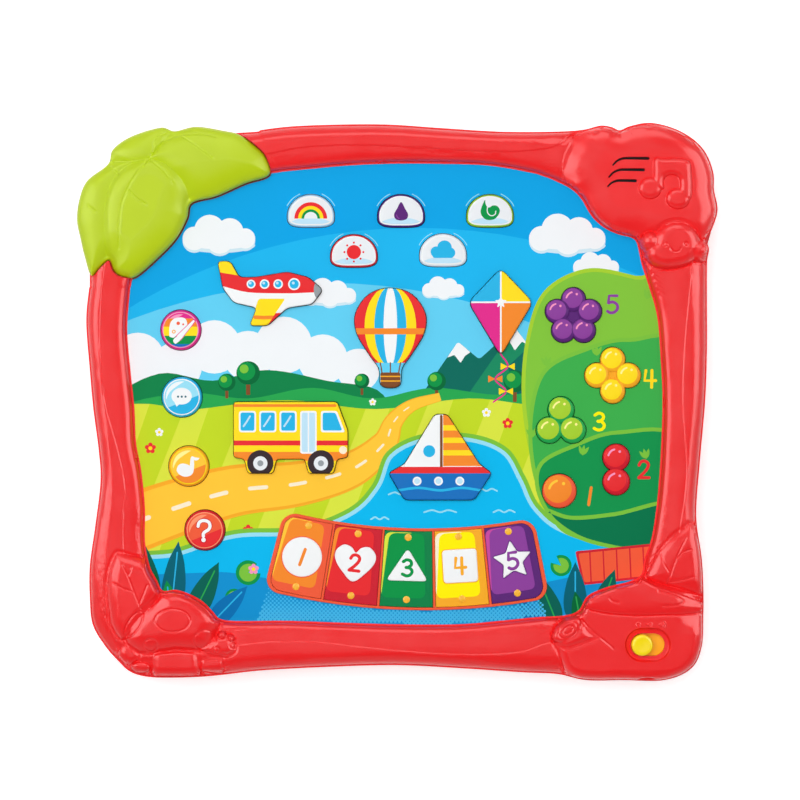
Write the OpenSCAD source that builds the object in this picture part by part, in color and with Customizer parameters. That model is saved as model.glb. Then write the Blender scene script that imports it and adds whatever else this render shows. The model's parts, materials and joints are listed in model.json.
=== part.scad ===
// Electronic activity board for a small child: a red moulded frame with sculpted corners, a printed
// face with press pads, five piano keys, a sliding power switch, a speaker and a battery bay.
// The board lies on its rubber feet with its face up. All sizes are in millimetres.

/* [Board] */
// Overall width of the board
board_w = 360; // [330:1:420]
// Overall height of the board
board_h = 314; // [290:1:370]
// Wall thickness of the moulded shells
wall = 2.5; // [2:0.1:3]
// Height of the rear cover's side wall
rear_wall_h = 10; // [9:0.5:11]
// Thickness of the rear cover's plate
rear_plate = 2.2; // [1.8:0.1:3]
// Height of the frame's inner lip above the printed face
lip_rise = 2.5; // [2:0.1:4]
// Height of the frame's crest above the printed face
crest_rise = 8; // [6:0.5:10]
// Drop of the frame's outer shoulder below the printed face
shoulder_drop = 3; // [1:0.5:6]
// Width of the printed face that the frame's lip covers
lip_cover = 6; // [4:0.5:7]

/* [Press pads] */
// Thickness of the printed face panel
panel_t = 2; // [1.5:0.1:3]
// How far a pad or key travels when it is pressed
press_travel = 1.1; // [0.6:0.1:1.6]
// Gap between a pad and its window in the panel
window_gap = 0.4; // [0.3:0.05:0.6]
// Running gap above and below a moving piece
running_gap = 0.3; // [0.2:0.05:0.5]
// Width of the flange that keeps a pad behind the panel
flange_w = 1.6; // [1:0.1:2.2]
// Thickness of the flange
flange_t = 1.4; // [1:0.1:2]
// Skin thickness of a hollow pad
pad_skin = 2; // [1.4:0.1:2.2]
// Height of a weather button above the face
weather_rise = 3; // [2:0.25:4]
// Height of a round mode button above the face
mode_rise = 3.2; // [2:0.1:4]
// Height of a picture pad above the face
picture_rise = 3.4; // [2:0.1:4.5]
// Height of a counting pad above the face
count_rise = 3; // [2:0.25:4]
// Diameter of a round mode button
mode_d = 22.6; // [18:0.1:25]
// Width of a weather button
weather_w = 26.4; // [22:0.1:30]
// Height of a weather button's outline
weather_h = 18.4; // [15:0.1:22]
// Diameter of the stem that presses the contact
stem_d = 6; // [4:0.5:7]

/* [Piano keys] */
// Radius of the fan's upper edge of the keys
key_r_top = 318.5; // [316:0.5:320]
// Length of a key
key_len = 43; // [38:1:44]
// Distance between the middles of neighbouring keys
key_step = 29.8; // [28:0.1:30]
// Width of the bar between two keys
key_bar = 1.2; // [1:0.1:2]
// Height of a key above the face
key_rise = 1.6; // [1.4:0.1:3]
// Height of the white symbol above its key
symbol_rise = 0.6; // [0.3:0.1:1]
// Height of the surround above the face
surround_rise = 1.2; // [0.8:0.1:1.5]
// Width of the surround round the keys
surround_w = 1.5; // [1.25:0.25:3]
// Corner radius of the surround
surround_r = 8.5; // [6:0.5:10]

/* [Power switch] */
// Diameter of the switch knob
knob_d = 12; // [10:0.25:13]
// Travel of the switch from off to loud
switch_travel = 6.6; // [5:0.1:8]
// Height of the knob above the recess rim
knob_rise = 2.5; // [1:0.25:4]
// Depth of the finger recess round the knob
recess_depth = 3.4; // [2:0.2:4]
// Rim of the finger recess round the slot
recess_rim = 3; // [2:0.25:4]

/* [Batteries and electronics] */
// Diameter of a battery cell
cell_d = 14.2; // [10:0.1:14.5]
// Length of a battery cell without its nub
cell_len = 49; // [43:0.5:50]
// Number of battery cells
cell_count = 3; // [2:1:4]
// Thickness of the circuit board
board_t = 1.6; // [1:0.2:2]
// Height of a silicone contact dome
dome_h = 2.4; // [1.5:0.1:3]
// Radius of the speaker
speaker_r = 20; // [16:0.5:21]
// Depth of the speaker behind its flange
speaker_depth = 17; // [14:0.5:20]

/* [Feet and screws] */
// Thickness of a rubber foot
foot_t = 2; // [1.5:0.25:4]
// Diameter of a rubber foot
foot_d = 14; // [10:0.5:18]
// Diameter of a case screw's shank
screw_d = 2.9; // [2.5:0.1:3.2]
// Diameter of a case screw's head
screw_head_d = 6; // [5:0.25:6.5]
// Length of a case screw below its head
screw_len = 18; // [14:1:20]

/* [Hidden] */
$fn = 48;

// Levels above the table, from the feet up
plate_z = foot_t;
plate_top = plate_z + rear_plate;
parting_z = plate_z + rear_wall_h;
cell_gap = 0.4;
cell_z = plate_top + cell_gap + cell_d / 2;
bay_roof_t = 1.6;
bay_head_gap = 0.6;
bay_roof_z = cell_z + cell_d / 2 + bay_head_gap;
board_gap = 1;
board_z = bay_roof_z + bay_roof_t + board_gap;
board_top = board_z + board_t;
stem_z = board_top + dome_h + press_travel + running_gap;
stem_len = 1.8;
flange_z = stem_z + stem_len;
panel_z = flange_z + flange_t + running_gap;
face_z = panel_z + panel_t;
lip_z = face_z + lip_rise;
crest_z = face_z + crest_rise;
shoulder_z = face_z - shoulder_drop;

// The outlines are drawn at this size; a bigger board moves the corners out and stretches the sides
drawn_w = 360;
drawn_h = 314;
corner_x = 80;
corner_y = 62;
function share(v, edge) = max(-1, min(1, v / edge));
function place(p) = [p[0] + (board_w - drawn_w) / 2 * share(p[0], corner_x),
                     p[1] + (board_h - drawn_h) / 2 * share(p[1], corner_y)];

// Closed loops: a smooth curve through points, an offset, rounded corners, arcs
function knot(p, i) = p[(i + len(p)) % len(p)];
function bend(a, b, c, d, t) =
    0.5 * (2 * b + (c - a) * t + (2 * a - 5 * b + 4 * c - d) * t * t + (3 * b - a - 3 * c + d) * t * t * t);
function smooth_loop(p, n) = [for (i = [0:len(p) - 1], k = [0:n - 1])
    bend(knot(p, i - 1), knot(p, i), knot(p, i + 1), knot(p, i + 2), k / n)];
function edge_normal(a, b) = let (e = b - a) [e[1], -e[0]] / norm(e);
function grow(p, d) = [for (i = [0:len(p) - 1])
    let (n1 = edge_normal(knot(p, i - 1), p[i]), n2 = edge_normal(p[i], knot(p, i + 1)))
    p[i] + d * (n1 + n2) / (1 + n1 * n2)];
function toward(a, b, d) = a + (b - a) * d / norm(b - a);
function rounded(p, r, n = 5) = [for (i = [0:len(p) - 1], k = [0:n])
    let (a = toward(p[i], knot(p, i - 1), r), b = toward(p[i], knot(p, i + 1), r), t = k / n)
    (1 - t) * (1 - t) * a + 2 * t * (1 - t) * p[i] + t * t * b];
function arc(c, r, a0, a1, n) = [for (k = [0:n]) let (a = a0 + (a1 - a0) * k / n) c + r * [cos(a), sin(a)]];
function reversed(p) = [for (i = [len(p) - 1:-1:0]) p[i]];

// The frame: outer point, inner point and crest height for each station, anticlockwise from the right
palm_seat_rise = 3;
palm_seat_z = face_z + palm_seat_rise;
tall = crest_z;
low = palm_seat_z;
frame_stations = [
    // right side
    [[173, 0], [149, 0], tall], [[174, 28], [148, 24], tall], [[174, 56], [146, 48], tall],
    [[174, 76], [142, 64], tall],
    // cloud corner
    [[176, 88], [137, 77], tall], [[180, 104], [134, 88], tall], [[178, 120], [128, 93], tall],
    [[177, 131], [119, 96], tall], [[171, 145], [112, 101], tall], [[159, 153], [107, 108], tall],
    [[142, 157], [103, 115], tall], [[126, 153], [97, 120], tall], [[114, 155], [90, 124], tall],
    [[101, 152], [83, 127], tall], [[88, 152], [75, 129], tall],
    // top side
    [[58, 152], [51, 133], tall], [[25, 154], [22, 134], tall], [[-5, 156], [-5, 134], tall],
    [[-33, 156], [-28, 133], tall], [[-59, 155], [-50, 131], tall],
    // seat of the palm cover
    [[-76, 153], [-65, 129.5], tall], [[-79, 152], [-68, 129], low],
    [[-94, 151], [-85, 127], low], [[-114, 149], [-99, 124], low], [[-134, 146], [-114, 119], low],
    [[-156, 137], [-125, 109], low], [[-169, 121], [-133, 97], low], [[-173, 103], [-141, 86], low],
    [[-173, 85], [-147, 77], low], [[-173, 66], [-150, 65], low], [[-173.5, 63], [-150.5, 62], tall],
    // left side
    [[-175, 45], [-152, 40], tall], [[-173, 18], [-150, 16], tall], [[-171, -4], [-148, -3], tall],
    [[-168, -27], [-147, -23], tall], [[-167, -45], [-144, -39], tall], [[-170, -70], [-142, -60], tall],
    [[-173, -92], [-142, -78], tall],
    // ladybird corner
    [[-173, -112], [-139, -92], tall], [[-169, -131], [-134, -102], tall], [[-158, -146], [-123, -106], tall],
    [[-143, -154], [-110, -111], tall], [[-125, -155], [-101, -121], tall], [[-105, -154], [-88, -123], tall],
    // bottom side
    [[-77, -151], [-64, -123], tall], [[-40, -149], [-34, -124], tall], [[0, -148], [0, -125], tall],
    [[40, -150], [34, -125], tall], [[70, -152], [58, -123], tall], [[90, -153], [78, -121], tall],
    // tree stump corner
    [[106, -156.5], [94, -120], tall], [[127, -156.5], [102, -117], tall], [[150, -156.5], [107, -109], tall],
    [[165, -150], [118, -104], tall], [[171, -138], [130, -101], tall], [[172, -120], [137, -97], tall],
    [[172, -104], [139, -88], tall], [[171, -87], [143, -76], tall], [[168, -64], [146, -56], tall],
    [[170, -34], [148, -30], tall]
];
frame_steps = 2;
outer_loop = smooth_loop([for (s = frame_stations) place(s[0])], frame_steps);
inner_loop = smooth_loop([for (s = frame_stations) place(s[1])], frame_steps);
station_count = len(outer_loop);
function station_crest(i) = let (k = floor(i / frame_steps), t = (i % frame_steps) / frame_steps)
    knot(frame_stations, k)[2] * (1 - t) + knot(frame_stations, k + 1)[2] * t;

// Sculpted corners: centre, half width, half height, turn, base above the face, rise, squareness
cloud_rise = 11;
stump_rise = 11;
bumps = [
    // speaker cloud and the small cloud under it
    [[142, 126], 37, 32, 0, 0, cloud_rise, 4], [[114, 134], 20, 21, 0, 0, cloud_rise - 1, 4],
    [[130, 110], 25, 17, -15, 0, cloud_rise - 1, 4], [[162, 106], 18, 19, 0, 0, cloud_rise - 1, 4],
    [[156, 90], 12, 12, 0, 2, 11, 2], [[142, 87], 8, 8, 0, 2, 9, 2], [[168, 86], 8, 8, 0, 2, 9, 2],
    [[155, 81], 15, 8, 0, 2, 9, 2],
    // ladybird, its head, the stones under it and the leaves behind it
    [[-126, -123], 27, 18, -12, 0, 13, 2.5], [[-100, -136], 9, 8, 0, 0, 9, 2], [[-124, -147], 14, 8, 0, 0, 8, 2.5],
    [[-103, -148], 8, 5, 0, 0, 7, 2.5], [[-147, -142], 9, 8, 0, 0, 8, 2.5],
    [[-147, -106], 11, 28, 18, 2, 8, 2], [[-163, -92], 8, 26, 12, 2, 7, 2],
    // tree stump, log end and leaf
    [[138, -131], 36, 29, 0, 0, stump_rise, 6], [[97, -131], 11, 10, 0, 0, stump_rise - 1, 4],
    [[156, -88], 13, 22, -15, 2, 7, 2]
];
function turned(p, a) = [p[0] * cos(a) + p[1] * sin(a), p[1] * cos(a) - p[0] * sin(a)];
function bump_z(p) = max([for (b = bumps)
    let (q = turned(p - place(b[0]), b[3]), d = pow(abs(q[0] / b[1]), b[6]) + pow(abs(q[1] / b[2]), b[6]))
    d < 1 ? face_z + b[4] + b[5] * sqrt(1 - d) : 0]);
edge_round = 6;
function bar_z(s, crest) = s < 0.5 ? lip_z + (crest - lip_z) * sin(180 * s)
                                   : shoulder_z + (crest - shoulder_z) * cos(180 * (s - 0.5));
function edge_share(s, w) = let (e = min(1, s * w / edge_round, (1 - s) * w / edge_round)) sqrt(1 - (1 - e) * (1 - e));
function frame_point(i, s) = inner_loop[i] + (outer_loop[i] - inner_loop[i]) * s;
function frame_width(i) = norm(outer_loop[i] - inner_loop[i]);
function frame_z(i, s) = let (z = bar_z(s, station_crest(i)))
    z + max(0, bump_z(frame_point(i, s)) - z) * edge_share(s, frame_width(i));
top_samples = 14;
under_samples = 5;
function frame_section(i) = let (w = frame_width(i), s_wall = 1 - wall / w, s_lip = (lip_cover + 1) / w)
    concat([for (k = [0:top_samples]) let (s = k / top_samples) [s, frame_z(i, s)]],
           [[1, parting_z], [s_wall, parting_z]],
           [for (k = [0:under_samples]) let (s = s_wall + (s_lip - s_wall) * k / under_samples)
               [s, k == under_samples ? face_z : max(face_z, frame_z(i, s) - wall)]],
           [[0, face_z]]);

// A closed skin over rings of points; the last ring joins the first when wrap is true
module skin(rings, wrap) {
    n = len(rings[0]);
    m = len(rings);
    sides = [for (r = [0:m - (wrap ? 1 : 2)], k = [0:n - 1])
        let (a = r * n + k, b = r * n + (k + 1) % n, c = ((r + 1) % m) * n + (k + 1) % n, d = ((r + 1) % m) * n + k)
        each [[a, c, b], [a, d, c]]];
    caps = wrap ? [] : concat([for (k = [1:n - 2]) [0, k, k + 1]],
                              [for (k = [1:n - 2]) [(m - 1) * n, (m - 1) * n + k + 1, (m - 1) * n + k]]);
    polyhedron([for (r = rings) each r], concat(sides, caps));
}
module slab(loop, z0, z1) translate([0, 0, z0]) linear_extrude(z1 - z0) polygon(loop);
module post(at, d, z0, z1) translate([at[0], at[1], z0]) cylinder(d = d, h = z1 - z0);

// Palm cover: its edge, anticlockwise from the right tip, round the point where the leaves meet
palm_centre = place([-140, 138]);
palm_edge = smooth_loop([for (p = [
    [-73.7, 137], [-79.2, 143.3], [-88.7, 150], [-97.4, 152.2], [-113, 154.5], [-125, 152], [-133, 154],
    [-149.5, 149], [-159.7, 141.7], [-162.5, 133.4], [-174, 124.3], [-178.5, 114], [-180, 102], [-178, 92],
    [-175.6, 81.7], [-172, 71], [-167.5, 74.5], [-162, 79.4], [-159.5, 74], [-157, 71.4], [-152.7, 70], [-146.4, 70.7],
    [-133.7, 81.7], [-124.2, 92], [-118.3, 103], [-115.5, 111.7], [-101.4, 115.7], [-85.6, 122.7],
    [-72.2, 127.5]]) place(p)], 2);
palm_rim = 2;
palm_rise = 9;
palm_crease = 2.5;
palm_crease_width = 9;
palm_creases = [43, 191, 249, 313];
palm_rings = [1, 0.95, 0.82, 0.64, 0.44, 0.22];
palm_pins = [place([-124, 136]), place([-159, 103])];
palm_pin_d = 5;
palm_pin_len = 7;
function heading(p) = (atan2(p[1], p[0]) + 360) % 360;
function turn_between(a, b) = let (d = abs(a - b) % 360) min(d, 360 - d);
function crease_depth(p, f) = palm_crease * f * max([for (c = palm_creases)
    let (t = turn_between(heading(p - palm_centre), c) / palm_crease_width) exp(-t * t)]);
function palm_z(p, f) = palm_seat_z + palm_rim + palm_rise * sqrt(1 - f * f) - crease_depth(p, f) * sqrt(1 - f * f);
palm_tip_share = 0.02;
function palm_ring(f, bottom) = [for (p = palm_edge) let (q = palm_centre + (p - palm_centre) * f)
    [q[0], q[1], bottom ? palm_seat_z : palm_z(q, f)]];

// Panel and rear cover outlines
panel_loop = grow(inner_loop, lip_cover);
rear_loop = outer_loop;

// Press pad outlines, anticlockwise, each round its own origin
weather_steps = 36;
weather_points = [for (k = [0:weather_steps - 1])
    let (a = 360 * k / weather_steps, up = sin(a) > 0, n = up ? 2 : 3.4,
         x = pow(abs(cos(a)), 2 / n) * sign(cos(a)), y = pow(abs(sin(a)), 2 / n) * sign(sin(a)))
    [x * weather_w / 2, y * weather_h * (up ? 0.66 : 0.34)]];
// Outline of n discs of radius r whose centres lie on a ring of radius c
foil_steps = 60;
function foil_loop(n, c, r) = [for (k = [0:foil_steps - 1])
    let (a = 360 * k / foil_steps, step = 360 / n, f = (a - 90 + step / 2 + 720) % step - step / 2)
    (c * cos(f) + sqrt(max(0, r * r - c * c * sin(f) * sin(f)))) * [cos(a), sin(a)]];
plane_points = [[30, 2], [22, 9], [10, 12], [-8, 9], [-17, 9], [-22, 18], [-29, 18], [-26, 3],
    [-20, -5], [-7, -8], [-11, -18], [-1, -18], [10, -8], [24, -6]];
balloon_points = smooth_loop([[0, -28], [5.5, -26], [6.5, -17], [12, -9], [19, 3], [19.5, 14], [12, 24.5], [0, 28],
    [-12, 24.5], [-19.5, 14], [-19, 3], [-12, -9], [-6.5, -17], [-5.5, -26]], 3);
kite_points = [[18, 6], [0, 25], [-18, 6], [0, -24]];
bus_points = [[-26, -12], [-24, -20], [-10, -20], [-8, -12], [8, -12], [10, -20], [24, -20], [26, -12], [32, -11],
    [32, 4], [26, 20], [-32, 20], [-32, -11]];
boat_points = [[29, -8], [22, -3], [4, 25], [-3, 25], [-20, -3], [-29, -8], [-20, -23], [19, -23]];
// Kinds of outline: plain points, points with rounded corners, and a ring of discs
function pad_loop(shape, d) = shape[0] == "plain" ? grow(shape[1], d)
    : shape[0] == "corners" ? rounded(grow(shape[1], d), max(0.6, shape[2] + 0.8 * min(0, d)))
    : foil_loop(shape[1], shape[2], shape[3] + d);
heart_loop = smooth_loop([[0.8, -10.8], [6.2, -5.4], [10.4, 1], [10.3, 6.2], [6.5, 9.3], [2.4, 8.2], [0, 6],
    [-2.4, 8.2], [-6.5, 9.3], [-10.3, 6.2], [-10.4, 1], [-6.2, -5.4], [-0.8, -10.8]], 2);
triangle_loop = rounded([[11.5, -8.5], [0, 11], [-11.5, -8.5]], 3);
square_loop = rounded([[9.5, -9.5], [9.5, 9.5], [-9.5, 9.5], [-9.5, -9.5]], 2.5);
star_out = 11.5;
star_in = 5.4;
star_loop = rounded([for (k = [0:9]) let (a = 90 + 36 * k, r = k % 2 == 0 ? star_out : star_in) r * [cos(a), sin(a)]], 1.2);
circle_loop = arc([0, 0], 11, 0, 360 - 360 / 40, 39);

// Pads: name, outline, place on the face
weather_shape = ["plain", weather_points];
weather_pads = [["rainbow_button", [-48.7, 104.5]], ["raindrop_button", [2, 104.5]], ["wind_button", [52, 104.5]],
    ["sun_button", [-24.5, 82]], ["cloud_button", [25.6, 82.4]]];
mode_pads = [["paint_button", [-121.8, 40.5]], ["speech_button", [-121.2, 2.8]], ["music_button", [-117.3, -36]],
    ["question_button", [-108.3, -72]]];
picture_pads = [["plane_pad", ["corners", plane_points, 2.4], [-72, 61]],
    ["balloon_pad", ["plain", balloon_points], [-4, 36]],
    ["kite_pad", ["corners", kite_points, 4], [58, 50]],
    ["bus_pad", ["corners", bus_points, 1.8], [-60, -20]],
    ["boat_pad", ["corners", boat_points, 2.4], [24, -32]]];
count_pads = [["count_pad_1", ["discs", 1, 0, 9.5], [91, -50]], ["count_pad_2", ["discs", 2, 6.8, 7.6], [123, -38]],
    ["count_pad_3", ["discs", 3, 7.6, 7.4], [92, -12]], ["count_pad_4", ["discs", 4, 8.8, 7], [121, 15]],
    ["count_pad_5", ["discs", 5, 9.6, 6.8], [99, 48]]];
shaped_pads = concat(
    [for (p = weather_pads) [p[0], weather_shape, place(p[1]), weather_rise, "whitesmoke"]],
    [for (p = picture_pads) [p[0], p[1], place(p[2]), picture_rise, "gold"]],
    [for (p = count_pads) [p[0], p[1], place(p[2]), count_rise, "orange"]]);

// Piano keys: an even fan about a point far above the face; its row keeps with the bottom edge
fan_reach = key_r_top + key_len / 2;
fan_centre = place([15.3, -94.1]) + [0, fan_reach];
key_pitch = key_step / fan_reach * 180 / PI;
fan_middle = -91.65;
key_count = 5;
key_r_low = key_r_top + key_len;
key_arc_steps = 6;
key_corner_r = surround_r - surround_w;
fan_corner_steps = 4;
key_colours = ["darkorange", "crimson", "green", "gold", "rebeccapurple"];
key_symbols = [circle_loop, heart_loop, triangle_loop, square_loop, star_loop];
function key_angle(k) = fan_middle + (k - (key_count - 1) / 2) * key_pitch;
function fan_turn(width, r) = width / r * 180 / PI;
function fan_corner(a, r, inward, down, w) = [if (w > 0) for (k = [0:fan_corner_steps - 1])
    let (u = 90 * k / fan_corner_steps, b = a + inward * fan_turn(w, r) * (1 - cos(u)))
    fan_centre + (r - down * w * (1 - sin(u))) * [cos(b), sin(b)]];
function fan_loop(a0, a1, r0, r1, w0 = 0, w1 = 0) = concat(
    fan_corner(a0, r1, 1, 1, w0),
    arc(fan_centre, r1, a0 + fan_turn(w0, r1), a1 - fan_turn(w1, r1), key_arc_steps),
    reversed(fan_corner(a1, r1, -1, 1, w1)),
    fan_corner(a1, r0, -1, -1, w1),
    arc(fan_centre, r0, a1 - fan_turn(w1, r0), a0 + fan_turn(w0, r0), key_arc_steps),
    reversed(fan_corner(a0, r0, 1, -1, w0)));
function bar_turn(width) = width / 2 / fan_reach * 180 / PI;
function key_loop(k, gap) = let (half = key_pitch / 2 - bar_turn(key_bar) - bar_turn(2 * gap))
    fan_loop(key_angle(k) - half, key_angle(k) + half, key_r_top + gap, key_r_low - gap,
        k == 0 ? key_corner_r - gap : 0, k == key_count - 1 ? key_corner_r - gap : 0);
function key_middle(k) = fan_centre + fan_reach * [cos(key_angle(k)), sin(key_angle(k))];
fan_half = key_pitch * key_count / 2;
surround_loop = fan_loop(fan_middle - fan_half - bar_turn(2 * surround_w),
    fan_middle + fan_half + bar_turn(2 * surround_w), key_r_top - surround_w, key_r_low + surround_w,
    surround_r, surround_r);

// Everything that a pad presses on the circuit board
press_points = concat([for (p = shaped_pads) p[2]], [for (p = mode_pads) place(p[1])],
    [for (k = [0:key_count - 1]) key_middle(k)]);

// Case screws, board screws and feet
screw_points = [for (p = [[161, 40], [159, -42], [56, 143], [-42, 144], [-163, 32], [-156, -38], [-50, -137],
    [45, -137.5]]) place(p)];
screw_gap = 0.05;
boss_d = 8;
rear_post_d = 9.6;
boss_z = parting_z + 2;
head_gap = 0.4;
head_h = 2.2;
head_z = boss_z - 6;
board_screw_points = [for (p = [[-124, 60], [126, 44], [-124, -54], [112, -74], [27, 109], [-38, -56]]) place(p)];
board_screw_d = 2.2;
board_screw_head_d = 4.4;
board_screw_len = 9;
board_post_d = 7;
foot_points = [for (p = [[150, 132], [-150, 128], [-148, -130], [148, -126], [0, 140], [0, -132]]) place(p)];
foot_seat = 0.6;

// Battery bay in the rear cover
bay_centre = [0, 10];
cell_pitch = cell_d + 1;
nub_d = 5.5;
nub_len = 1.2;
contact_t = 0.5;
spring_len = 5;
bay_len = cell_len + nub_len + spring_len + 2 * contact_t + 0.4;
bay_wide = cell_pitch * cell_count + 1;
bay_wall = 1.8;
door_ledge = 2;
door_gap = 0.4;
door_lug = 8;
door_tab_w = 12;
door_tab_reach = 3;
door_tab_t = 1.4;
door_len = bay_len + 2 * door_ledge;
door_wide = bay_wide + 2 * door_ledge;
door_screw_at = [bay_centre[0], bay_centre[1] - door_wide / 2 - door_lug / 2];
lug_d = 11;
// The captive door screw swings out of its hole with the door, so the hole is wide
door_screw_gap = 0.8;
function cell_y(k) = bay_centre[1] + (k - (cell_count - 1) / 2) * cell_pitch;
function cell_way(k) = k % 2 == 0 ? 1 : -1;

// Circuit board outline
main_loop = [for (p = [[-134, -60], [-112, -104], [92, -106], [136, -66], [136, 62], [100, 104], [70, 118], [-82, 118],
    [-108, 92], [-134, 66]]) place(p)];

// Speaker behind the cloud
speaker_at = place([134, 127]);
speaker_z = face_z + 4.6;
speaker_seat_w = 2;
speaker_seat_top = face_z + cloud_rise - 2.6;
speaker_flange_t = 1.2;
speaker_cone_t = 0.6;
magnet_r = 10;
magnet_h = 7;
slot_w = 1.6;
slot_pitch = 6.2;
slot_count = 3;
slot_shift = -2.6;
slot_start = place([121, 132.6]);
function slot_path(k) = [for (p = [[0, 0], [1.6, 2], [4, 3.4], [7, 3.8], [19 + k * slot_shift, 3.8]])
    slot_start + k * [slot_shift / 2, -slot_pitch] + p];
function open_normal(p, i) = edge_normal(p[max(0, i - 1)], p[min(len(p) - 1, i + 1)]);
function stroke(p, w) = concat([for (i = [0:len(p) - 1]) p[i] + open_normal(p, i) * w / 2],
    reversed([for (i = [0:len(p) - 1]) p[i] - open_normal(p, i) * w / 2]));

// Power switch in the stump
switch_at = place([140, -135.8]);
switch_slot_gap = 0.3;
slot_len = knob_d + switch_travel + 2 * switch_slot_gap;
slot_h = knob_d + 2 * switch_slot_gap;
switch_top = face_z + stump_rise;
switch_floor = switch_top - recess_depth;
pocket_floor_t = 2.2;
pocket_z = switch_floor - pocket_floor_t;
knob_at = switch_at - [switch_travel / 2, 0];
slide_t = 1.6;
slide_z = pocket_z - running_gap - slide_t;
slide_rim = 1.6;
switch_board_z = slide_z - 11;
switch_board_size = [40, 20];
switch_body_size = [17, 7, 6];
switch_post_d = 6;
switch_post_x = 15;
lever_size = [3, 2.4];

function oblong(c, length, h) = concat(arc(c + [(length - h) / 2, 0], h / 2, -90, 90, 16),
                                       arc(c - [(length - h) / 2, 0], h / 2, 90, 270, 16));

// Wires inside the case, as hand-set routes: place on the face and height above the circuit board
lead_d = 1.4;
speaker_route = [[125.2, 118.2, 4.4], [118, 111, 3.6], [110, 103, 3.2], [102, 97, 2.4], [97, 93, 1], [93, 91, 0.7]];
switch_route = [[126, -128, 4.1], [121, -119, 3.9], [113, -109, 3], [106, -103, 1.8], [100, -99, 0.9], [95, -98, 0.7]];
function lifted(route) = [for (p = route) let (q = place([p[0], p[1]])) [q[0], q[1], board_top + p[2]]];

// Red moulded frame with its screw bosses, speaker seat and switch pocket
module front_frame() {
    color("#ee3538") difference() {
        union() {
            skin([for (i = [0:station_count - 1]) [for (q = frame_section(i))
                let (p = frame_point(i, q[0])) [p[0], p[1], q[1]]]], true);
            for (p = screw_points) post(p, boss_d, boss_z, crest_z - wall + 0.8);
            difference() {
                post(speaker_at, 2 * (speaker_r + speaker_seat_w), speaker_z, speaker_seat_top);
                post(speaker_at, 2 * speaker_r - 4, speaker_z - 1, speaker_seat_top + 1);
            }
            slab(oblong(switch_at, slot_len + 2 * recess_rim + 2 * wall, slot_h + 2 * recess_rim + 2 * wall),
                pocket_z, switch_top - wall + 1);
        }
        for (p = screw_points) post(p, screw_d + 2 * screw_gap, boss_z - 1, boss_z + screw_len);
        for (k = [0:slot_count - 1]) slab(stroke(slot_path(k), slot_w), speaker_z + 2, face_z + 3 * cloud_rise);
        slab(oblong(switch_at, slot_len + 2 * recess_rim, slot_h + 2 * recess_rim), switch_floor, switch_top + 5);
        slab(oblong(switch_at, slot_len, slot_h), pocket_z - 1, switch_top);
        for (p = palm_pins) post(p, palm_pin_d + 2 * running_gap, face_z - 1, palm_seat_z + 1);
    }
}

// Green palm crown clipped over the frame's top left corner
module palm_cover() {
    color("#b7d92f") union() {
        skin([for (f = [palm_tip_share, 0.5, 1]) palm_ring(f, true), for (f = palm_rings) palm_ring(f, false),
            palm_ring(palm_tip_share, false)], false);
        for (p = palm_pins) post(p, palm_pin_d, palm_seat_z - palm_pin_len, palm_seat_z + palm_rim / 2);
    }
}

// Printed face panel with a window for every pad and key
module face_panel() {
    color("#28b8ea") difference() {
        slab(panel_loop, panel_z, face_z);
        for (p = shaped_pads) translate([p[2][0], p[2][1], 0]) slab(pad_loop(p[1], window_gap), panel_z - 1, face_z + 1);
        for (p = mode_pads) post(place(p[1]), mode_d + 2 * window_gap, panel_z - 1, face_z + 1);
        for (k = [0:key_count - 1]) slab(key_loop(k, 0), panel_z - 1, face_z + 1);
    }
}

// Raised surround with one window per piano key
module piano_surround() {
    color("#ee4b30") difference() {
        slab(surround_loop, face_z, face_z + surround_rise);
        for (k = [0:key_count - 1]) slab(key_loop(k, 0), face_z - 1, face_z + surround_rise + 1);
    }
}

// A hollow pad with its flange behind the panel and its stem over the contact
module pad_hollow(shape, z) {
    if (shape[0] == "discs") for (k = [1:shape[1]])
        slab(arc(shape[2] * [cos(90 + 360 * k / shape[1]), sin(90 + 360 * k / shape[1])], shape[3] - pad_skin,
            0, 345, 23), flange_z - 1, z);
    else slab(pad_loop(shape, -pad_skin), flange_z - 1, z);
}
module press_pad(shape, at, rise) {
    top = face_z + rise;
    translate([at[0], at[1], 0]) union() {
        difference() {
            union() {
                slab(pad_loop(shape, flange_w), flange_z, flange_z + flange_t);
                slab(pad_loop(shape, 0), flange_z, top);
            }
            pad_hollow(shape, top - pad_skin);
        }
        post([0, 0], stem_d, stem_z, top - pad_skin / 2);
    }
}

// A round mode button
module mode_button(at) {
    top = face_z + mode_rise;
    color("#f04a3a") translate([at[0], at[1], 0]) union() {
        difference() {
            union() {
                post([0, 0], mode_d + 2 * flange_w, flange_z, flange_z + flange_t);
                post([0, 0], mode_d, flange_z, top);
            }
            post([0, 0], mode_d - 2 * pad_skin, flange_z - 1, top - pad_skin);
        }
        post([0, 0], stem_d, stem_z, top - pad_skin / 2);
    }
}

// One piano key: flange bars beyond its two ends, and its raised white symbol
module piano_key(k) {
    bar = key_pitch / 2 - bar_turn(key_bar) - bar_turn(2 * window_gap) - bar_turn(1.6);
    top = face_z + key_rise;
    middle = key_middle(k);
    color(key_colours[k]) union() {
        difference() {
            union() {
                slab(fan_loop(key_angle(k) - bar, key_angle(k) + bar, key_r_top - flange_w, key_r_low + flange_w),
                    flange_z, flange_z + flange_t);
                slab(key_loop(k, window_gap), flange_z, top);
                translate([middle[0], middle[1], 0]) rotate([0, 0, key_angle(k) + 90])
                    slab(key_symbols[k], top - 0.5, top + symbol_rise);
            }
            slab(key_loop(k, window_gap + pad_skin), flange_z - 1, top - pad_skin);
        }
        post(middle, stem_d, stem_z, top - pad_skin / 2);
    }
}

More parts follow.
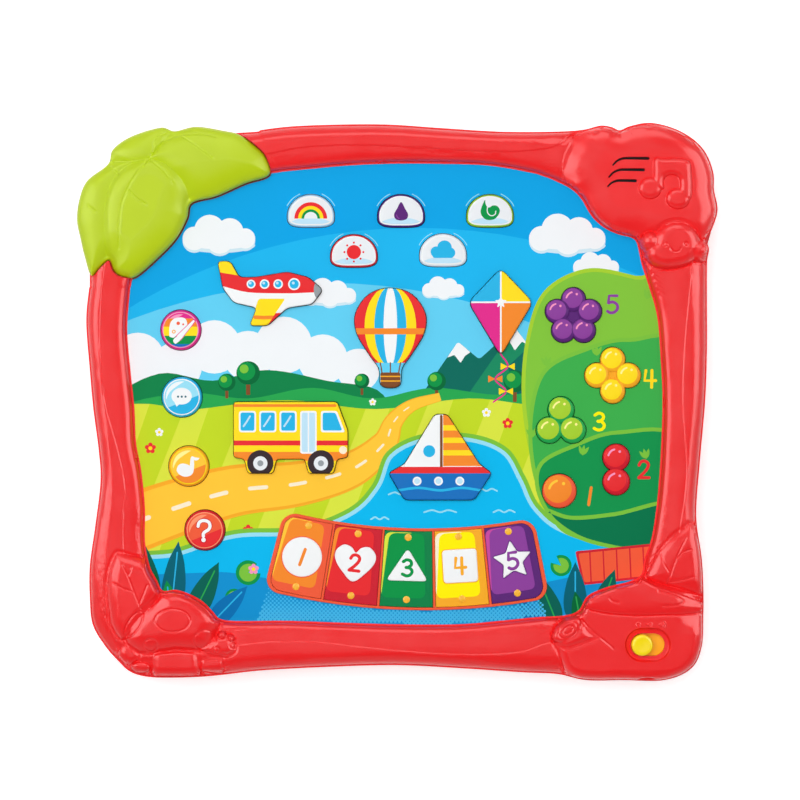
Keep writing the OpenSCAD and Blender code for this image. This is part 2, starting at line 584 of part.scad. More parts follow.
// Rear cover: plate, side wall, tongue, screw posts, board posts, battery bay and supports
module rear_cover() {
    color("#d82c30") difference() {
        union() {
            slab(grow(rear_loop, -1.5), plate_z, plate_top);
            difference() {
                slab(rear_loop, plate_z + 1.2, parting_z);
                slab(grow(rear_loop, -wall), plate_z, parting_z + 1);
            }
            for (p = screw_points) post(p, rear_post_d, plate_z + 0.5, boss_z);
            for (p = board_screw_points) post(p, board_post_d, plate_z + 0.5, board_z);
            post(speaker_at, magnet_r, plate_z + 0.5, speaker_z - speaker_depth);
            for (s = [-1, 1])
                post(switch_at + [s * switch_post_x, 0], switch_post_d, plate_z + 0.5, switch_board_z);
            translate([bay_centre[0], bay_centre[1], plate_z + 1]) linear_extrude(bay_roof_z + bay_roof_t - plate_z - 1)
                square([bay_len + 2 * bay_wall + 2 * door_ledge, bay_wide + 2 * bay_wall + 2 * door_ledge], center = true);
            post(door_screw_at, lug_d + 2 * bay_wall, plate_z + 0.5, plate_top + 7);
        }
        for (p = screw_points) {
            post(p, screw_head_d + 2 * head_gap, plate_z - 1, head_z);
            post(p, screw_d + 2 * head_gap, plate_z, boss_z + 1);
        }
        for (p = board_screw_points)
            post(p, board_screw_d + 2 * screw_gap, board_z - board_screw_len, board_z + 1);
        for (p = foot_points) post(p, foot_d + 0.4, plate_z - 1, plate_z + foot_seat);
        translate([bay_centre[0], bay_centre[1], plate_top]) linear_extrude(bay_roof_z - plate_top)
            square([bay_len, bay_wide], center = true);
        translate([bay_centre[0], bay_centre[1], plate_z - 1]) linear_extrude(rear_plate + 1)
            square([door_len + 2 * door_gap, door_wide + 2 * door_gap], center = true);
        translate([door_screw_at[0], door_screw_at[1], plate_z - 1]) {
            cylinder(d = lug_d + 2 * door_gap, h = rear_plate + 1);
            translate([-lug_d / 2 - door_gap, 0, 0]) cube([lug_d + 2 * door_gap, door_lug, rear_plate + 1]);
        }
        post(door_screw_at, screw_d + 2 * door_screw_gap, plate_z, plate_top + 6);
        for (s = [-1, 1]) translate([bay_centre[0] + s * door_len / 4 - door_tab_w / 2 - door_gap,
            bay_centre[1] + bay_wide / 2 - 0.5, plate_top - 0.01])
            cube([door_tab_w + 2 * door_gap, door_ledge + door_tab_reach + 1.5, door_tab_t + 2.6]);
    }
}

// Battery door with two hooks along its upper edge and a screw lug below
module battery_door() {
    door_top = bay_centre[1] + door_wide / 2;
    color("#d82c30") difference() {
        union() {
            translate([bay_centre[0], bay_centre[1], plate_z]) linear_extrude(rear_plate)
                square([door_len, door_wide], center = true);
            translate([door_screw_at[0], door_screw_at[1], plate_z]) {
                cylinder(d = lug_d, h = rear_plate);
                translate([-lug_d / 2, 0, 0]) cube([lug_d, door_lug, rear_plate]);
            }
            for (s = [-1, 1]) translate([bay_centre[0] + s * door_len / 4 - door_tab_w / 2,
                door_top - door_ledge - 1, plate_top - 0.2]) {
                cube([door_tab_w, door_ledge - 0.4, door_tab_t + 0.6]);
                translate([0, 0, 0.5]) cube([door_tab_w, door_ledge + 1 + door_tab_reach, door_tab_t]);
            }
        }
        post(door_screw_at, screw_d + 2 * head_gap, plate_z - 1, plate_top + 1);
        post(door_screw_at, screw_head_d + 2 * head_gap, plate_z - 1, plate_z + rear_plate - 1.2);
    }
}

// A pan-head screw with a cross recess, its head seat at z and its shank upwards
recess_arm = [3.4, 0.8, 1.1];
module screw(at, d, head_d, head_t, length, z) {
    translate([at[0], at[1], z]) difference() {
        union() {
            translate([0, 0, -head_t]) cylinder(d = head_d, h = head_t);
            cylinder(d = d, h = length);
        }
        for (a = [0, 90]) rotate([0, 0, a])
            translate([-recess_arm[0] / 2, -recess_arm[1] / 2, -head_t - 0.01]) cube(recess_arm);
    }
}
module door_screw() {
    color("silver") screw(door_screw_at, screw_d, screw_head_d, 1, 6, plate_z + rear_plate - 1.2);
}
module case_screws() {
    color("silver") for (p = screw_points) screw(p, screw_d, screw_head_d, head_h, screw_len, head_z);
}
module board_screws() {
    color("silver") for (p = board_screw_points) translate([0, 0, board_top]) mirror([0, 0, 1])
        screw(p, board_screw_d, board_screw_head_d, 1.6, board_screw_len - 1, 0);
}

// Three cells, turned end for end, with a nub on each
module battery_cells() {
    color("dimgray") for (k = [0:cell_count - 1])
        translate([bay_centre[0], cell_y(k), cell_z]) rotate([0, 90 * cell_way(k), 0])
            translate([0, 0, (spring_len - nub_len) / 2 - cell_len / 2]) {
                cylinder(d = cell_d, h = cell_len);
                cylinder(d = nub_d, h = cell_len + nub_len);
            }
}

// Contact plates at both ends of each cell, with a tapered spring at the flat end
contact_size = [11, 10];
module battery_contacts() {
    color("lightgray") for (k = [0:cell_count - 1], s = [-1, 1])
        translate([bay_centre[0], cell_y(k), cell_z]) rotate([0, 90 * s * cell_way(k), 0])
            translate([0, 0, bay_len / 2 - contact_t]) {
                linear_extrude(contact_t) square(contact_size, center = true);
                if (s < 0) translate([0, 0, -spring_len + 0.1]) cylinder(d1 = 5, d2 = 9, h = spring_len);
            }
}

// Main circuit board, the covered sound chip and the silicone contact domes
module main_board() {
    color("darkgreen") difference() {
        slab(main_loop, board_z, board_top);
        for (p = board_screw_points) post(p, board_screw_d + 2 * head_gap, board_z - 1, board_top + 1);
    }
}
chip_at = place([62, 14]);
chip_d = 16;
chip_h = 2;
module sound_chip() {
    color("black") translate([chip_at[0], chip_at[1], board_top]) cylinder(d1 = chip_d, d2 = chip_d / 2, h = chip_h);
}
dome_d = 9;
module contact_domes() {
    color("lightslategray") for (p = press_points)
        translate([p[0], p[1], board_top]) cylinder(d1 = dome_d, d2 = stem_d, h = dome_h);
}

module rubber_feet() {
    color("#333333") for (p = foot_points) post(p, foot_d, 0, plate_z + foot_seat);
}

// Speaker: steel basket, paper cone and magnet
module speaker_basket() {
    bottom = speaker_z - speaker_depth + magnet_h;
    color("silver") translate([speaker_at[0], speaker_at[1], 0]) rotate_extrude() polygon([
        [speaker_r - 3, speaker_z - speaker_flange_t], [speaker_r, speaker_z - speaker_flange_t],
        [speaker_r, speaker_z], [speaker_r - 2.4, speaker_z], [speaker_r - 4, speaker_z - 1],
        [magnet_r + 1, bottom + speaker_flange_t], [0, bottom + speaker_flange_t],
        [0, bottom], [magnet_r + 2, bottom]]);
}
module speaker_cone() {
    low_z = speaker_z - speaker_depth + magnet_h + speaker_flange_t + 1.2;
    color("#222222") translate([speaker_at[0], speaker_at[1], 0]) rotate_extrude() polygon([
        [0, low_z], [4, low_z], [speaker_r - 4.4, speaker_z + 0.1], [speaker_r - 2.6, speaker_z + 0.1],
        [speaker_r - 2.6, speaker_z + 0.1 + speaker_cone_t], [speaker_r - 4.8, speaker_z + 0.1 + speaker_cone_t],
        [4, low_z + speaker_cone_t], [0, low_z + speaker_cone_t]]);
}
module speaker_magnet() {
    color("dimgray") post(speaker_at, 2 * magnet_r, speaker_z - speaker_depth, speaker_z - speaker_depth + magnet_h);
}

// A round wire along a hand-set route
lead_sides = 8;
function unit(v) = v / norm(v);
function route_way(p, i) = unit(p[min(len(p) - 1, i + 1)] - p[max(0, i - 1)]);
function route_ring(p, i, d) = let (w = route_way(p, i), u = unit(cross(w, [0, 0, 1])), v = cross(u, w))
    [for (k = [0:lead_sides - 1]) let (a = 360 * k / lead_sides) p[i] + d / 2 * (cos(a) * u - sin(a) * v)];
module lead(route) {
    p = lifted(route);
    skin([for (i = [0:len(p) - 1]) route_ring(p, i, lead_d)], false);
}
module speaker_lead() {
    color("red") lead(speaker_route);
}
module switch_lead() {
    color("black") lead(switch_route);
}

// Power switch: knob, the slide under the slot, the lever it carries, and the switch on its own board
module switch_knob() {
    color("#ffe000") post(knob_at, knob_d, slide_z + slide_t, switch_top + knob_rise);
}
module switch_slide() {
    color("#f5ac12") slab(oblong(knob_at, slot_len + switch_travel + 2 * slide_rim,
        slot_h + 2 * slide_rim), slide_z, slide_z + slide_t);
}
module switch_lever() {
    color("black") translate([knob_at[0] - lever_size[0] / 2, knob_at[1] - lever_size[1] / 2,
        switch_board_z + board_t + switch_body_size[2] + running_gap])
        cube([lever_size[0], lever_size[1], slide_z - switch_board_z - board_t - switch_body_size[2] - running_gap]);
}
module switch_body() {
    color("silver") translate([switch_at[0], switch_at[1], switch_board_z + board_t])
        linear_extrude(switch_body_size[2]) square([switch_body_size[0], switch_body_size[1]], center = true);
}
module switch_board() {
    color("darkgreen") translate([switch_at[0], switch_at[1], switch_board_z]) linear_extrude(board_t)
        square(switch_board_size, center = true);
}

front_frame();
palm_cover();
face_panel();
piano_surround();
rear_cover();
battery_door();
door_screw();
battery_cells();
battery_contacts();
main_board();
sound_chip();
contact_domes();
board_screws();
case_screws();
rubber_feet();
speaker_basket();
speaker_cone();
speaker_magnet();
speaker_lead();
switch_lead();
switch_knob();
switch_slide();
switch_lever();
switch_body();
switch_board();
for (p = shaped_pads) color(p[4]) press_pad(p[1], p[2], p[3]);
for (p = mode_pads) mode_button(place(p[1]));
for (k = [0:key_count - 1]) piano_key(k);
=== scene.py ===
"""Dresses the CAD model of a toddler's activity board: moulded frame, printed face, press pads and switch."""

import json
import math

import bpy
import numpy as np
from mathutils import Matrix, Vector
from mathutils.geometry import delaunay_2d_cdt

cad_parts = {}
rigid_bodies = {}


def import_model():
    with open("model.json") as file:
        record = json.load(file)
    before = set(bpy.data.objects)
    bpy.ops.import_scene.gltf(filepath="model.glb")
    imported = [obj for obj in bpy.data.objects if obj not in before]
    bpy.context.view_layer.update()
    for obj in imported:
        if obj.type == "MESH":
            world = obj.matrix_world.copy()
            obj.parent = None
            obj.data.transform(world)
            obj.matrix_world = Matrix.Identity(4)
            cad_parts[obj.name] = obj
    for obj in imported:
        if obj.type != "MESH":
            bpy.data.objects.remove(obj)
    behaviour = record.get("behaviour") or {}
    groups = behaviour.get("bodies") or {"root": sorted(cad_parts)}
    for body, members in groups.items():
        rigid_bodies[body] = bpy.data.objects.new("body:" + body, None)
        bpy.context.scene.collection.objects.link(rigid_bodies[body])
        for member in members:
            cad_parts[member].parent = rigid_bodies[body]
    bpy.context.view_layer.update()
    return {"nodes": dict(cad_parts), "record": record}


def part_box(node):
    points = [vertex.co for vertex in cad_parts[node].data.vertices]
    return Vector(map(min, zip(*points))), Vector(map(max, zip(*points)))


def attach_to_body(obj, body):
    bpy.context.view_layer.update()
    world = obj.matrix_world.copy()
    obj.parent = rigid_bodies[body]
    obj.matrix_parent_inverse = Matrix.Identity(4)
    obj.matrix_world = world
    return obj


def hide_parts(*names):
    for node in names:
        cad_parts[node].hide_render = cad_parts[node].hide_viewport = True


bl_info = {
    "name": "Activity board",
    "version": (1, 0, 0),
    "blender": (4, 5, 0),
    "location": "View3D > Sidebar > Board",
    "description": "Dresses the CAD model of a toddler's activity board",
    "category": "Object",
}

for leftover in list(bpy.data.objects):
    bpy.data.objects.remove(leftover)
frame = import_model()

MM = 0.001
RECORD = frame["record"]
BODY_OF = {node: body for body, nodes in RECORD["behaviour"]["bodies"].items() for node in nodes}


def top_of(node):
    """Highest point of a CAD node, in millimetres."""
    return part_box(node)[1].z / MM


def base_of(node):
    """Lowest point of a CAD node, in millimetres."""
    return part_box(node)[0].z / MM


# Levels of the moulding, in millimetres, from the CAD nodes
FACE_Z = top_of("face_panel")
PANEL_Z = base_of("face_panel")
PARTING_Z = base_of("front_frame")
SEAT_Z = FACE_Z + 3
LIP_Z = FACE_Z + 2.5
CREST_Z = FACE_Z + 8
SHOULDER_Z = FACE_Z - 3
PLATEAU_Z = FACE_Z + 11
PAD_BASE_Z = FACE_Z - 3.4
TALLEST_Z = FACE_Z + 14

# Distances of the moulding, in millimetres
WALL = 2.5
LIP_COVER = 6
WINDOW_GAP = 0.4
RELIEF_GAP = 0.5
SOFT_REACH = 14
EDGE_RAMP = 0.6
CREASE_FADE = 9
# Depth below the plateau of the dark sheet in the speaker slots, which paints the shade inside them
SLOT_SHADE_DEPTH = 2.6
INNER_CEILING = 3.1
SEAT_DROP = 2.3
WHOLE_BOARD = 400.0

# Shares of a bar's width, a form's reach and a pitch, and the power of the outer roll
CREST_AT = 0.6
ROLL_END = 0.95
ROLL_POWER = 2.4
BLEND_SHARE = 0.08
ROW_SHARE = 0.866

# Corners closer than this, in millimetres, are one; edges flatter than this, in degrees, look smooth
MERGE_DISTANCE = 1e-4
SMOOTH_ANGLE = 38

# Printing inks, sRGB
INKS = {
    "sky": (2, 164, 230), "sky_mid": (26, 182, 239), "sky_low": (98, 208, 244), "cloud": (241, 245, 248),
    "cloud_shade": (207, 231, 242), "peak": (24, 138, 96), "peak_dark": (6, 106, 92), "hill": (38, 166, 80),
    "hill_dark": (10, 130, 72), "hill_lime": (122, 194, 62), "meadow": (194, 218, 37),
    "meadow_pale": (217, 229, 66), "sand": (255, 200, 57), "sand_dark": (247, 172, 40), "lake": (0, 185, 240),
    "lake_deep": (10, 145, 209), "lake_pale": (152, 223, 244), "reed": (3, 98, 84), "reed_teal": (0, 98, 116),
    "reed_blue": (0, 112, 178), "terrace_a": (130, 197, 60), "terrace_b": (60, 174, 76),
    "terrace_c": (14, 147, 76), "terrace_d": (0, 117, 74), "white": (243, 245, 246), "cream": (250, 238, 208),
    "red": (232, 46, 50), "deep_red": (205, 34, 50), "coral": (240, 92, 58), "orange": (245, 138, 44),
    "yellow": (255, 222, 30), "lemon": (255, 240, 0), "pale_yellow": (255, 244, 150),
    "magenta": (226, 42, 140), "pink": (246, 150, 190), "purple": (140, 65, 155),
    "deep_purple": (92, 40, 118), "blue": (24, 112, 190), "cyan": (40, 180, 230), "ice": (232, 236, 240),
    "pale_blue": (190, 226, 245), "green": (8, 147, 70), "deep_green": (0, 104, 56), "lime": (166, 208, 50),
    # edge: dark brown, printed round the palm as painted shade of the gap under it, and on the picture pads'
    # sides
    "brown": (128, 76, 42), "grey": (150, 157, 162), "dark": (58, 46, 50), "edge": (120, 62, 48),
    "orchid": (200, 75, 160), "salmon": (252, 150, 110),
}
KEEP = "keep the ink below"
HOLE = "cut the sheet"


def length(name, text, millimetres):
    """A length property, stored in metres."""
    return bpy.props.FloatProperty(name=name, description=text, default=millimetres * MM, min=0,
                                   unit="LENGTH", precision=5)


def share(name, text, value):
    """A property between 0 and 1."""
    return bpy.props.FloatProperty(name=name, description=text, default=value, min=0, max=1, subtype="FACTOR")


def power(name, text, watts):
    """The power of a lamp."""
    return bpy.props.FloatProperty(name=name, description=text, default=watts, min=0,
                                   subtype="POWER", unit="POWER")


def shade(name, text, rgb):
    """A colour property, sRGB."""
    return bpy.props.FloatVectorProperty(name=name, description=text, default=[c / 255 for c in rgb], size=3,
                                         min=0, max=1, subtype="COLOR_GAMMA")


class BoardSizes(bpy.types.PropertyGroup):
    """Sizes of the dressed pieces"""

    lip_roll: length("Lip roll", "Radius of the frame's inner edge", 2.2)
    crease_step: length("Crease step", "Height of the step along the middle of each bar", 0.5)
    valley_width: length("Valley width", "Width of the valley outside each corner form", 1.6)
    carving: length("Carving depth", "Depth of the lines cut in the corner forms", 0.45)
    carving_width: length("Carving width", "Half width of the lines cut in the corner forms", 0.55)
    stump_fall: length("Stump fall", "How far the stump's sawn face falls to its right end", 3.6)
    palm_rise: length("Palm rise", "Height of the palm crown above its edge", 9.4)
    palm_fold: length("Palm folds", "Depth of the folds between the palm's leaves", 2.2)
    weather_roll: length("Weather button edge", "Radius of the weather buttons' upper edge", 2.4)
    mode_roll: length("Mode button edge", "Radius of the round buttons' upper edge", 2.4)
    picture_roll: length("Picture pad edge", "Radius of the picture pads' upper edge", 0.9)
    key_roll: length("Key edge", "Radius of the piano keys' upper edge", 0.4)
    ball_rise: length("Ball rise", "How far each counting ball swells above its rim", 2.0)
    rivet_radius: length("Rivet radius", "Radius of the studs at the ends of each key", 2.0)
    dot_pitch: length("Dot pitch", "Distance between the printed dots on the water", 2.3)
    dot_radius: length("Dot radius", "Radius of the largest printed dot on the water", 0.85)


class BoardColours(bpy.types.PropertyGroup):
    """Colours of the moulded pieces"""

    frame_red: shade("Frame", "Moulded red of the front frame", (240, 32, 35))
    rear_red: shade("Rear cover", "Moulded red of the rear cover and battery door", (222, 46, 50))
    palm_green: shade("Palm cover", "Moulded lime green of the palm crown", (184, 207, 12))
    surround: shade("Piano surround", "Moulded red orange round the keys", (240, 82, 54))
    knob: shade("Knob", "Moulded yellow of the switch knob", (254, 224, 12))
    slide: shade("Slide", "Moulded amber of the plate under the knob", (255, 188, 22))
    rivet: shade("Rivets", "Studs at the ends of the keys", (250, 184, 50))
    foot: shade("Feet", "Rubber of the feet", (38, 38, 40))


class BoardInks(bpy.types.PropertyGroup):
    """Inks of the printed face, pads, buttons and keys"""

    __annotations__ = {key: shade(key.replace("_", " ").capitalize(), "Printing ink", rgb)
                       for key, rgb in INKS.items()}


class BoardLight(bpy.types.PropertyGroup):
    """Studio light and finish"""

    ambient: share("Ambient", "Strength of the surroundings at the horizon", 0.62)
    zenith: share("Zenith", "Strength of the surroundings overhead", 0.1)
    overhead: power("Overhead", "Power of the soft lamp overhead", 31.0)
    side: power("Sides", "Power of the lamps at the left and right, seen in gloss only", 17.0)
    back: power("Back", "Power of the lamp beyond the top edge, seen in gloss only", 8.0)
    gloss: share("Gloss", "Roughness of the moulded plastic", 0.2)
    satin: share("Satin", "Roughness of the palm's plastic", 0.36)


def sizes(key):
    """One of the board's sizes, in millimetres."""
    return getattr(bpy.context.scene.board_sizes, key) / MM


def linear(rgb):
    """Scene-linear colour with alpha, from sRGB between 0 and 1."""
    return tuple(c / 12.92 if c <= 0.04045 else ((c + 0.055) / 1.055) ** 2.4 for c in rgb) + (1.0,)


def colour(key):
    """One of the moulded colours, scene-linear."""
    return linear(getattr(bpy.context.scene.board_colours, key))


# Flat shapes: closed loops of points in millimetres, anticlockwise

def anticlockwise(loop):
    """The loop, turned round if it runs clockwise."""
    loop = np.asarray(loop, float)
    x, y = loop[:, 0], loop[:, 1]
    return loop if np.sum(x * np.roll(y, -1) - np.roll(x, -1) * y) > 0 else loop[::-1]


def bend(a, b, c, d, n):
    """Points of a smooth curve from b to c, b included."""
    t = (np.arange(n) / n)[:, None]
    return 0.5 * (2 * b + (c - a) * t + (2 * a - 5 * b + 4 * c - d) * t ** 2
                  + (3 * b - a - 3 * c + d) * t ** 3)


def smooth_loop(points, steps=6):
    """A smooth closed curve through points; steps is one number, or one for each span."""
    p = np.asarray(points, float)
    counts = [steps] * len(p) if isinstance(steps, int) else steps
    spans = zip(np.roll(p, 1, 0), p, np.roll(p, -1, 0), np.roll(p, -2, 0), counts)
    return np.vstack([bend(*span) for span in spans])


def outline_of(points, steps=6):
    """A smooth closed curve through points, anticlockwise."""
    return anticlockwise(smooth_loop(points, steps))


def smooth_path(points, steps=6):
    """A smooth open curve through points."""
    p = np.asarray(points, float)
    ends = np.vstack([2 * p[0] - p[1], p, 2 * p[-1] - p[-2]])
    spans = [bend(ends[i], ends[i + 1], ends[i + 2], ends[i + 3], steps) for i in range(len(p) - 1)]
    return np.vstack(spans + [p[-1:]])


def disc(x, y, r, n=28):
    """A circle."""
    return oval(x, y, r, r, 0, n)


def oval(x, y, rx, ry, turn=0, n=32):
    """An ellipse, turned by some degrees."""
    a = np.arange(n) * 2 * math.pi / n
    return turned(np.column_stack([rx * np.cos(a), ry * np.sin(a)]), turn) + (x, y)


def turned(loop, degrees):
    """The loop turned about the origin."""
    c, s = math.cos(math.radians(degrees)), math.sin(math.radians(degrees))
    return np.asarray(loop, float) @ np.array([[c, s], [-s, c]])


def polar(r, a):
    """Points at some radii and angles round the origin."""
    return np.column_stack([r * np.cos(a), r * np.sin(a)])


def arc(x, y, r, start, end, n=16):
    """Points on a circle between two angles in degrees."""
    return polar(r, np.radians(np.linspace(start, end, n + 1))) + (x, y)


def band(x, y, r0, r1, start, end, n=20):
    """A ring segment between two radii and two angles."""
    return np.vstack([arc(x, y, r1, start, end, n), arc(x, y, r0, end, start, n)])


def rounded(points, r, n=5):
    """A loop with its corners rounded off."""
    p = np.asarray(points, float)
    out = []
    for before, here, after in zip(np.roll(p, 1, 0), p, np.roll(p, -1, 0)):
        a = here + (before - here) * min(0.5, r / np.linalg.norm(before - here))
        b = here + (after - here) * min(0.5, r / np.linalg.norm(after - here))
        t = (np.arange(n + 1) / n)[:, None]
        out.append((1 - t) ** 2 * a + 2 * t * (1 - t) * here + t ** 2 * b)
    return np.vstack(out)


def bar(x0, y0, x1, y1):
    """A rectangle."""
    return [(x0, y0), (x1, y0), (x1, y1), (x0, y1)]


def box(x0, y0, x1, y1, r=0.5):
    """A rectangle with rounded corners."""
    return rounded(bar(x0, y0, x1, y1), r, 3)


def grown(loop, distance):
    """The loop moved outwards by a distance, or inwards where that is negative."""
    p = np.asarray(loop, float)
    edges = np.roll(p, -1, 0) - p
    normals = np.column_stack([edges[:, 1], -edges[:, 0]])
    normals /= np.linalg.norm(normals, axis=1)[:, None]
    before = np.roll(normals, 1, 0)
    lean = np.maximum(1 + np.sum(before * normals, 1), 0.4)
    return p + distance * (before + normals) / lean[:, None]


def heading(path):
    """Unit vectors along a path."""
    along = np.gradient(path, axis=0)
    return along / np.maximum(np.linalg.norm(along, axis=1), 1e-9)[:, None]


def leftward(vectors):
    """Vectors turned to their left."""
    return np.column_stack([-vectors[:, 1], vectors[:, 0]])


def stroke(path, width, ends=None):
    """The outline of a line of some width with round ends; ends may give another width at its end."""
    p = np.asarray(path, float)
    half = np.linspace(width, width if ends is None else ends, len(p)) / 2
    along = heading(p)
    side = leftward(along) * half[:, None]
    start, end = (math.degrees(math.atan2(along[k, 1], along[k, 0])) for k in (0, -1))
    front = arc(*p[-1], half[-1], end - 90, end + 90, 6)[1:-1]
    back = arc(*p[0], half[0], start + 90, start + 270, 6)[1:-1]
    return np.vstack([p - side, front, (p + side)[::-1], back])


def star(points, r_out, r_in, corner=0.8):
    """A star standing on two points."""
    a = np.radians(90 + np.arange(2 * points) * 180 / points)
    r = np.where(np.arange(2 * points) % 2 == 0, r_out, r_in)
    return rounded(polar(r, a), corner)


# Fields over points in millimetres

def boxed(points, low, high):
    """True for each point in an upright rectangle."""
    return np.all((points > low) & (points < high), axis=1)


def nearest(points, starts, ends):
    """Distance from each point to the nearest of some straight lines."""
    x, y = points.T
    best = np.full(len(points), np.inf)
    for (ax, ay), (bx, by) in zip(starts, ends):
        ex, ey = bx - ax, by - ay
        t = np.clip(((x - ax) * ex + (y - ay) * ey) / max(ex * ex + ey * ey, 1e-12), 0, 1)
        best = np.minimum(best, (x - ax - t * ex) ** 2 + (y - ay - t * ey) ** 2)
    return np.sqrt(best)


def inside(points, loop):
    """True for each point that a closed loop surrounds."""
    found = np.zeros(len(points), bool)
    near = boxed(points, loop.min(0), loop.max(0))
    x, y = points[near].T
    odd = np.zeros(len(x), bool)
    for (ax, ay), (bx, by) in zip(loop, np.roll(loop, -1, 0)):
        if ay != by:
            odd ^= ((ay > y) != (by > y)) & (x < ax + (y - ay) * (bx - ax) / (by - ay))
    found[near] = odd
    return found


def depth_in(points, loop, margin=4.0):
    """Distance inside a closed loop; negative outside it, and no lower than minus the margin."""
    depth = np.full(len(points), -margin)
    near = boxed(points, loop.min(0) - margin, loop.max(0) + margin)
    gap = nearest(points[near], loop, np.roll(loop, -1, 0))
    depth[near] = np.where(inside(points[near], loop), gap, -np.minimum(gap, margin))
    return depth


def distance_to(points, path, margin=4.0):
    """Distance to an open path, no more than the margin."""
    path = np.asarray(path, float)
    gap = np.full(len(points), margin)
    near = boxed(points, path.min(0) - margin, path.max(0) + margin)
    gap[near] = np.minimum(nearest(points[near], path[:-1], path[1:]), margin)
    return gap


def swell(depth, reach):
    """Quarter-round rise from 0 at an edge to 1 at some distance inside it."""
    return np.sqrt(1 - (1 - np.clip(depth / reach, 0, 1)) ** 2)


def ease(value):
    """Smooth step from 0 to 1."""
    t = np.clip(value, 0, 1)
    return t * t * (3 - 2 * t)


# Materials

def feed(tree, node, inputs):
    """Gives each of a node's inputs a value, or a link from another node's socket."""
    for key, value in inputs.items():
        if isinstance(value, bpy.types.NodeSocket):
            tree.links.new(value, node.inputs[key])
        else:
            node.inputs[key].default_value = value


def add_node(tree, kind, inputs=None, **settings):
    """A new node with its settings and inputs."""
    node = tree.nodes.new(kind)
    for key, value in settings.items():
        setattr(node, key, value)
    feed(tree, node, inputs or {})
    return node


def worked_out(tree, operation, first, second):
    """The socket of a sum over two sockets or values."""
    return add_node(tree, "ShaderNodeMath", {0: first, 1: second}, operation=operation).outputs[0]


def new_material(name):
    """A node material with a Principled shader; returns the material, its node tree and the shader."""
    material = bpy.data.materials.new(name)
    material.use_nodes = True
    return material, material.node_tree, material.node_tree.nodes["Principled BSDF"]


def surface_group():
    """Shared effect of a moulded or printed surface: tint, roughness and grain that vary over it."""
    if "moulded_surface" in bpy.data.node_groups:
        return bpy.data.node_groups["moulded_surface"]
    group = bpy.data.node_groups.new("moulded_surface", "ShaderNodeTree")
    for name, value in (("Scale", 90.0), ("Mottle", 0.03), ("Roughness", 0.35), ("Spread", 0.06),
                        ("Grain scale", 2200.0)):
        socket = group.interface.new_socket(name, in_out="INPUT", socket_type="NodeSocketFloat")
        socket.default_value = value
    for name in ("Tint", "Roughness", "Height"):
        group.interface.new_socket(name, in_out="OUTPUT", socket_type="NodeSocketFloat")
    entry = add_node(group, "NodeGroupInput").outputs
    where = add_node(group, "ShaderNodeTexCoord").outputs["Object"]
    broad = add_node(group, "ShaderNodeTexNoise", {"Vector": where, "Scale": entry["Scale"], "Detail": 3})
    fine = add_node(group, "ShaderNodeTexNoise", {
        "Vector": where, "Scale": entry["Grain scale"], "Detail": 2})

    def varied(amount, centre):
        offset = worked_out(group, "SUBTRACT", broad.outputs["Fac"], 0.5)
        return worked_out(group, "ADD", worked_out(group, "MULTIPLY", offset, entry[amount]), centre)

    add_node(group, "NodeGroupOutput", {"Tint": varied("Mottle", 1.0), "Height": fine.outputs["Fac"],
                                        "Roughness": varied("Spread", entry["Roughness"])})
    return group


def finished(name, base, roughness, coat=0.0, mottle=0.06, grain=0.02, scale=90.0, grain_scale=2200.0,
             metal=0.0, attribute=None, spread=0.16, specular=0.5):
    """A moulded, printed or metal finish; an attribute name takes the mesh's colour instead of base."""
    if name in bpy.data.materials:
        return bpy.data.materials[name]
    material, tree, shader = new_material(name)
    surface = add_node(tree, "ShaderNodeGroup", {
        "Scale": scale, "Mottle": mottle, "Roughness": roughness, "Spread": spread,
        "Grain scale": grain_scale}, node_tree=surface_group()).outputs
    if attribute:
        base = add_node(tree, "ShaderNodeAttribute", attribute_name=attribute).outputs["Color"]
    mix = add_node(tree, "ShaderNodeMix", data_type="RGBA", blend_type="MULTIPLY")
    feed(tree, mix, {0: 1.0, 6: base, 7: surface["Tint"]})
    bump = add_node(tree, "ShaderNodeBump", {
        "Strength": 0.4, "Distance": grain * MM, "Height": surface["Height"]})
    feed(tree, shader, {
        "Base Color": mix.outputs[2], "Roughness": surface["Roughness"], "Normal": bump.outputs["Normal"],
        "Metallic": metal, "Specular IOR Level": specular, "Coat Weight": coat, "Coat Roughness": 0.12})
    return material


def moulded(key):
    """Glossy moulded plastic in one of the board's colours."""
    light = bpy.context.scene.board_light
    if key == "palm_green":
        return finished("moulded_palm", colour(key), light.satin, specular=0.3)
    return finished("moulded_" + key, colour(key), light.gloss)


def printed_finish():
    """Printed film: the ink attribute's colour with a low sheen."""
    return finished("printed_film", None, 0.34, mottle=0.03, grain=0.005, attribute="ink", spread=0.05,
                    specular=0.07)


# Meshes

def placed(name, data):
    """A new object in the scene."""
    item = bpy.data.objects.new(name, data)
    bpy.context.scene.collection.objects.link(item)
    return item


def new_mesh(name, points, faces):
    """A mesh from points in millimetres."""
    mesh = bpy.data.meshes.new(name)
    mesh.from_pydata((np.asarray(points, float) * MM).tolist(), [], faces)
    return mesh


def smoothed(mesh, angle=SMOOTH_ANGLE):
    """Shades a mesh smooth, up to an angle between its faces."""
    mesh.polygons.foreach_set("use_smooth", np.ones(len(mesh.polygons), bool))
    mesh.set_sharp_from_angle(angle=math.radians(angle))


def applied(piece):
    """Makes what a piece's modifiers show its own mesh."""
    graph = bpy.context.evaluated_depsgraph_get()
    piece.data = bpy.data.meshes.new_from_object(piece.evaluated_get(graph), depsgraph=graph)
    piece.modifiers.clear()
    smoothed(piece.data)


def solid(name, points, faces, material, angle=SMOOTH_ANGLE):
    """An object from points in millimetres, smooth up to an angle."""
    mesh = new_mesh(name, points, faces)
    mesh.materials.append(material)
    smoothed(mesh, angle)
    return placed(name, mesh)


def dress(piece, node):
    """The piece rides with a CAD node's body and stands for the node, which is hidden."""
    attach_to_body(piece, BODY_OF[node])
    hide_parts(node)


def attach(piece, node):
    """The piece rides with a CAD node's body, beside what stands for the node."""
    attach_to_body(piece, BODY_OF[node])


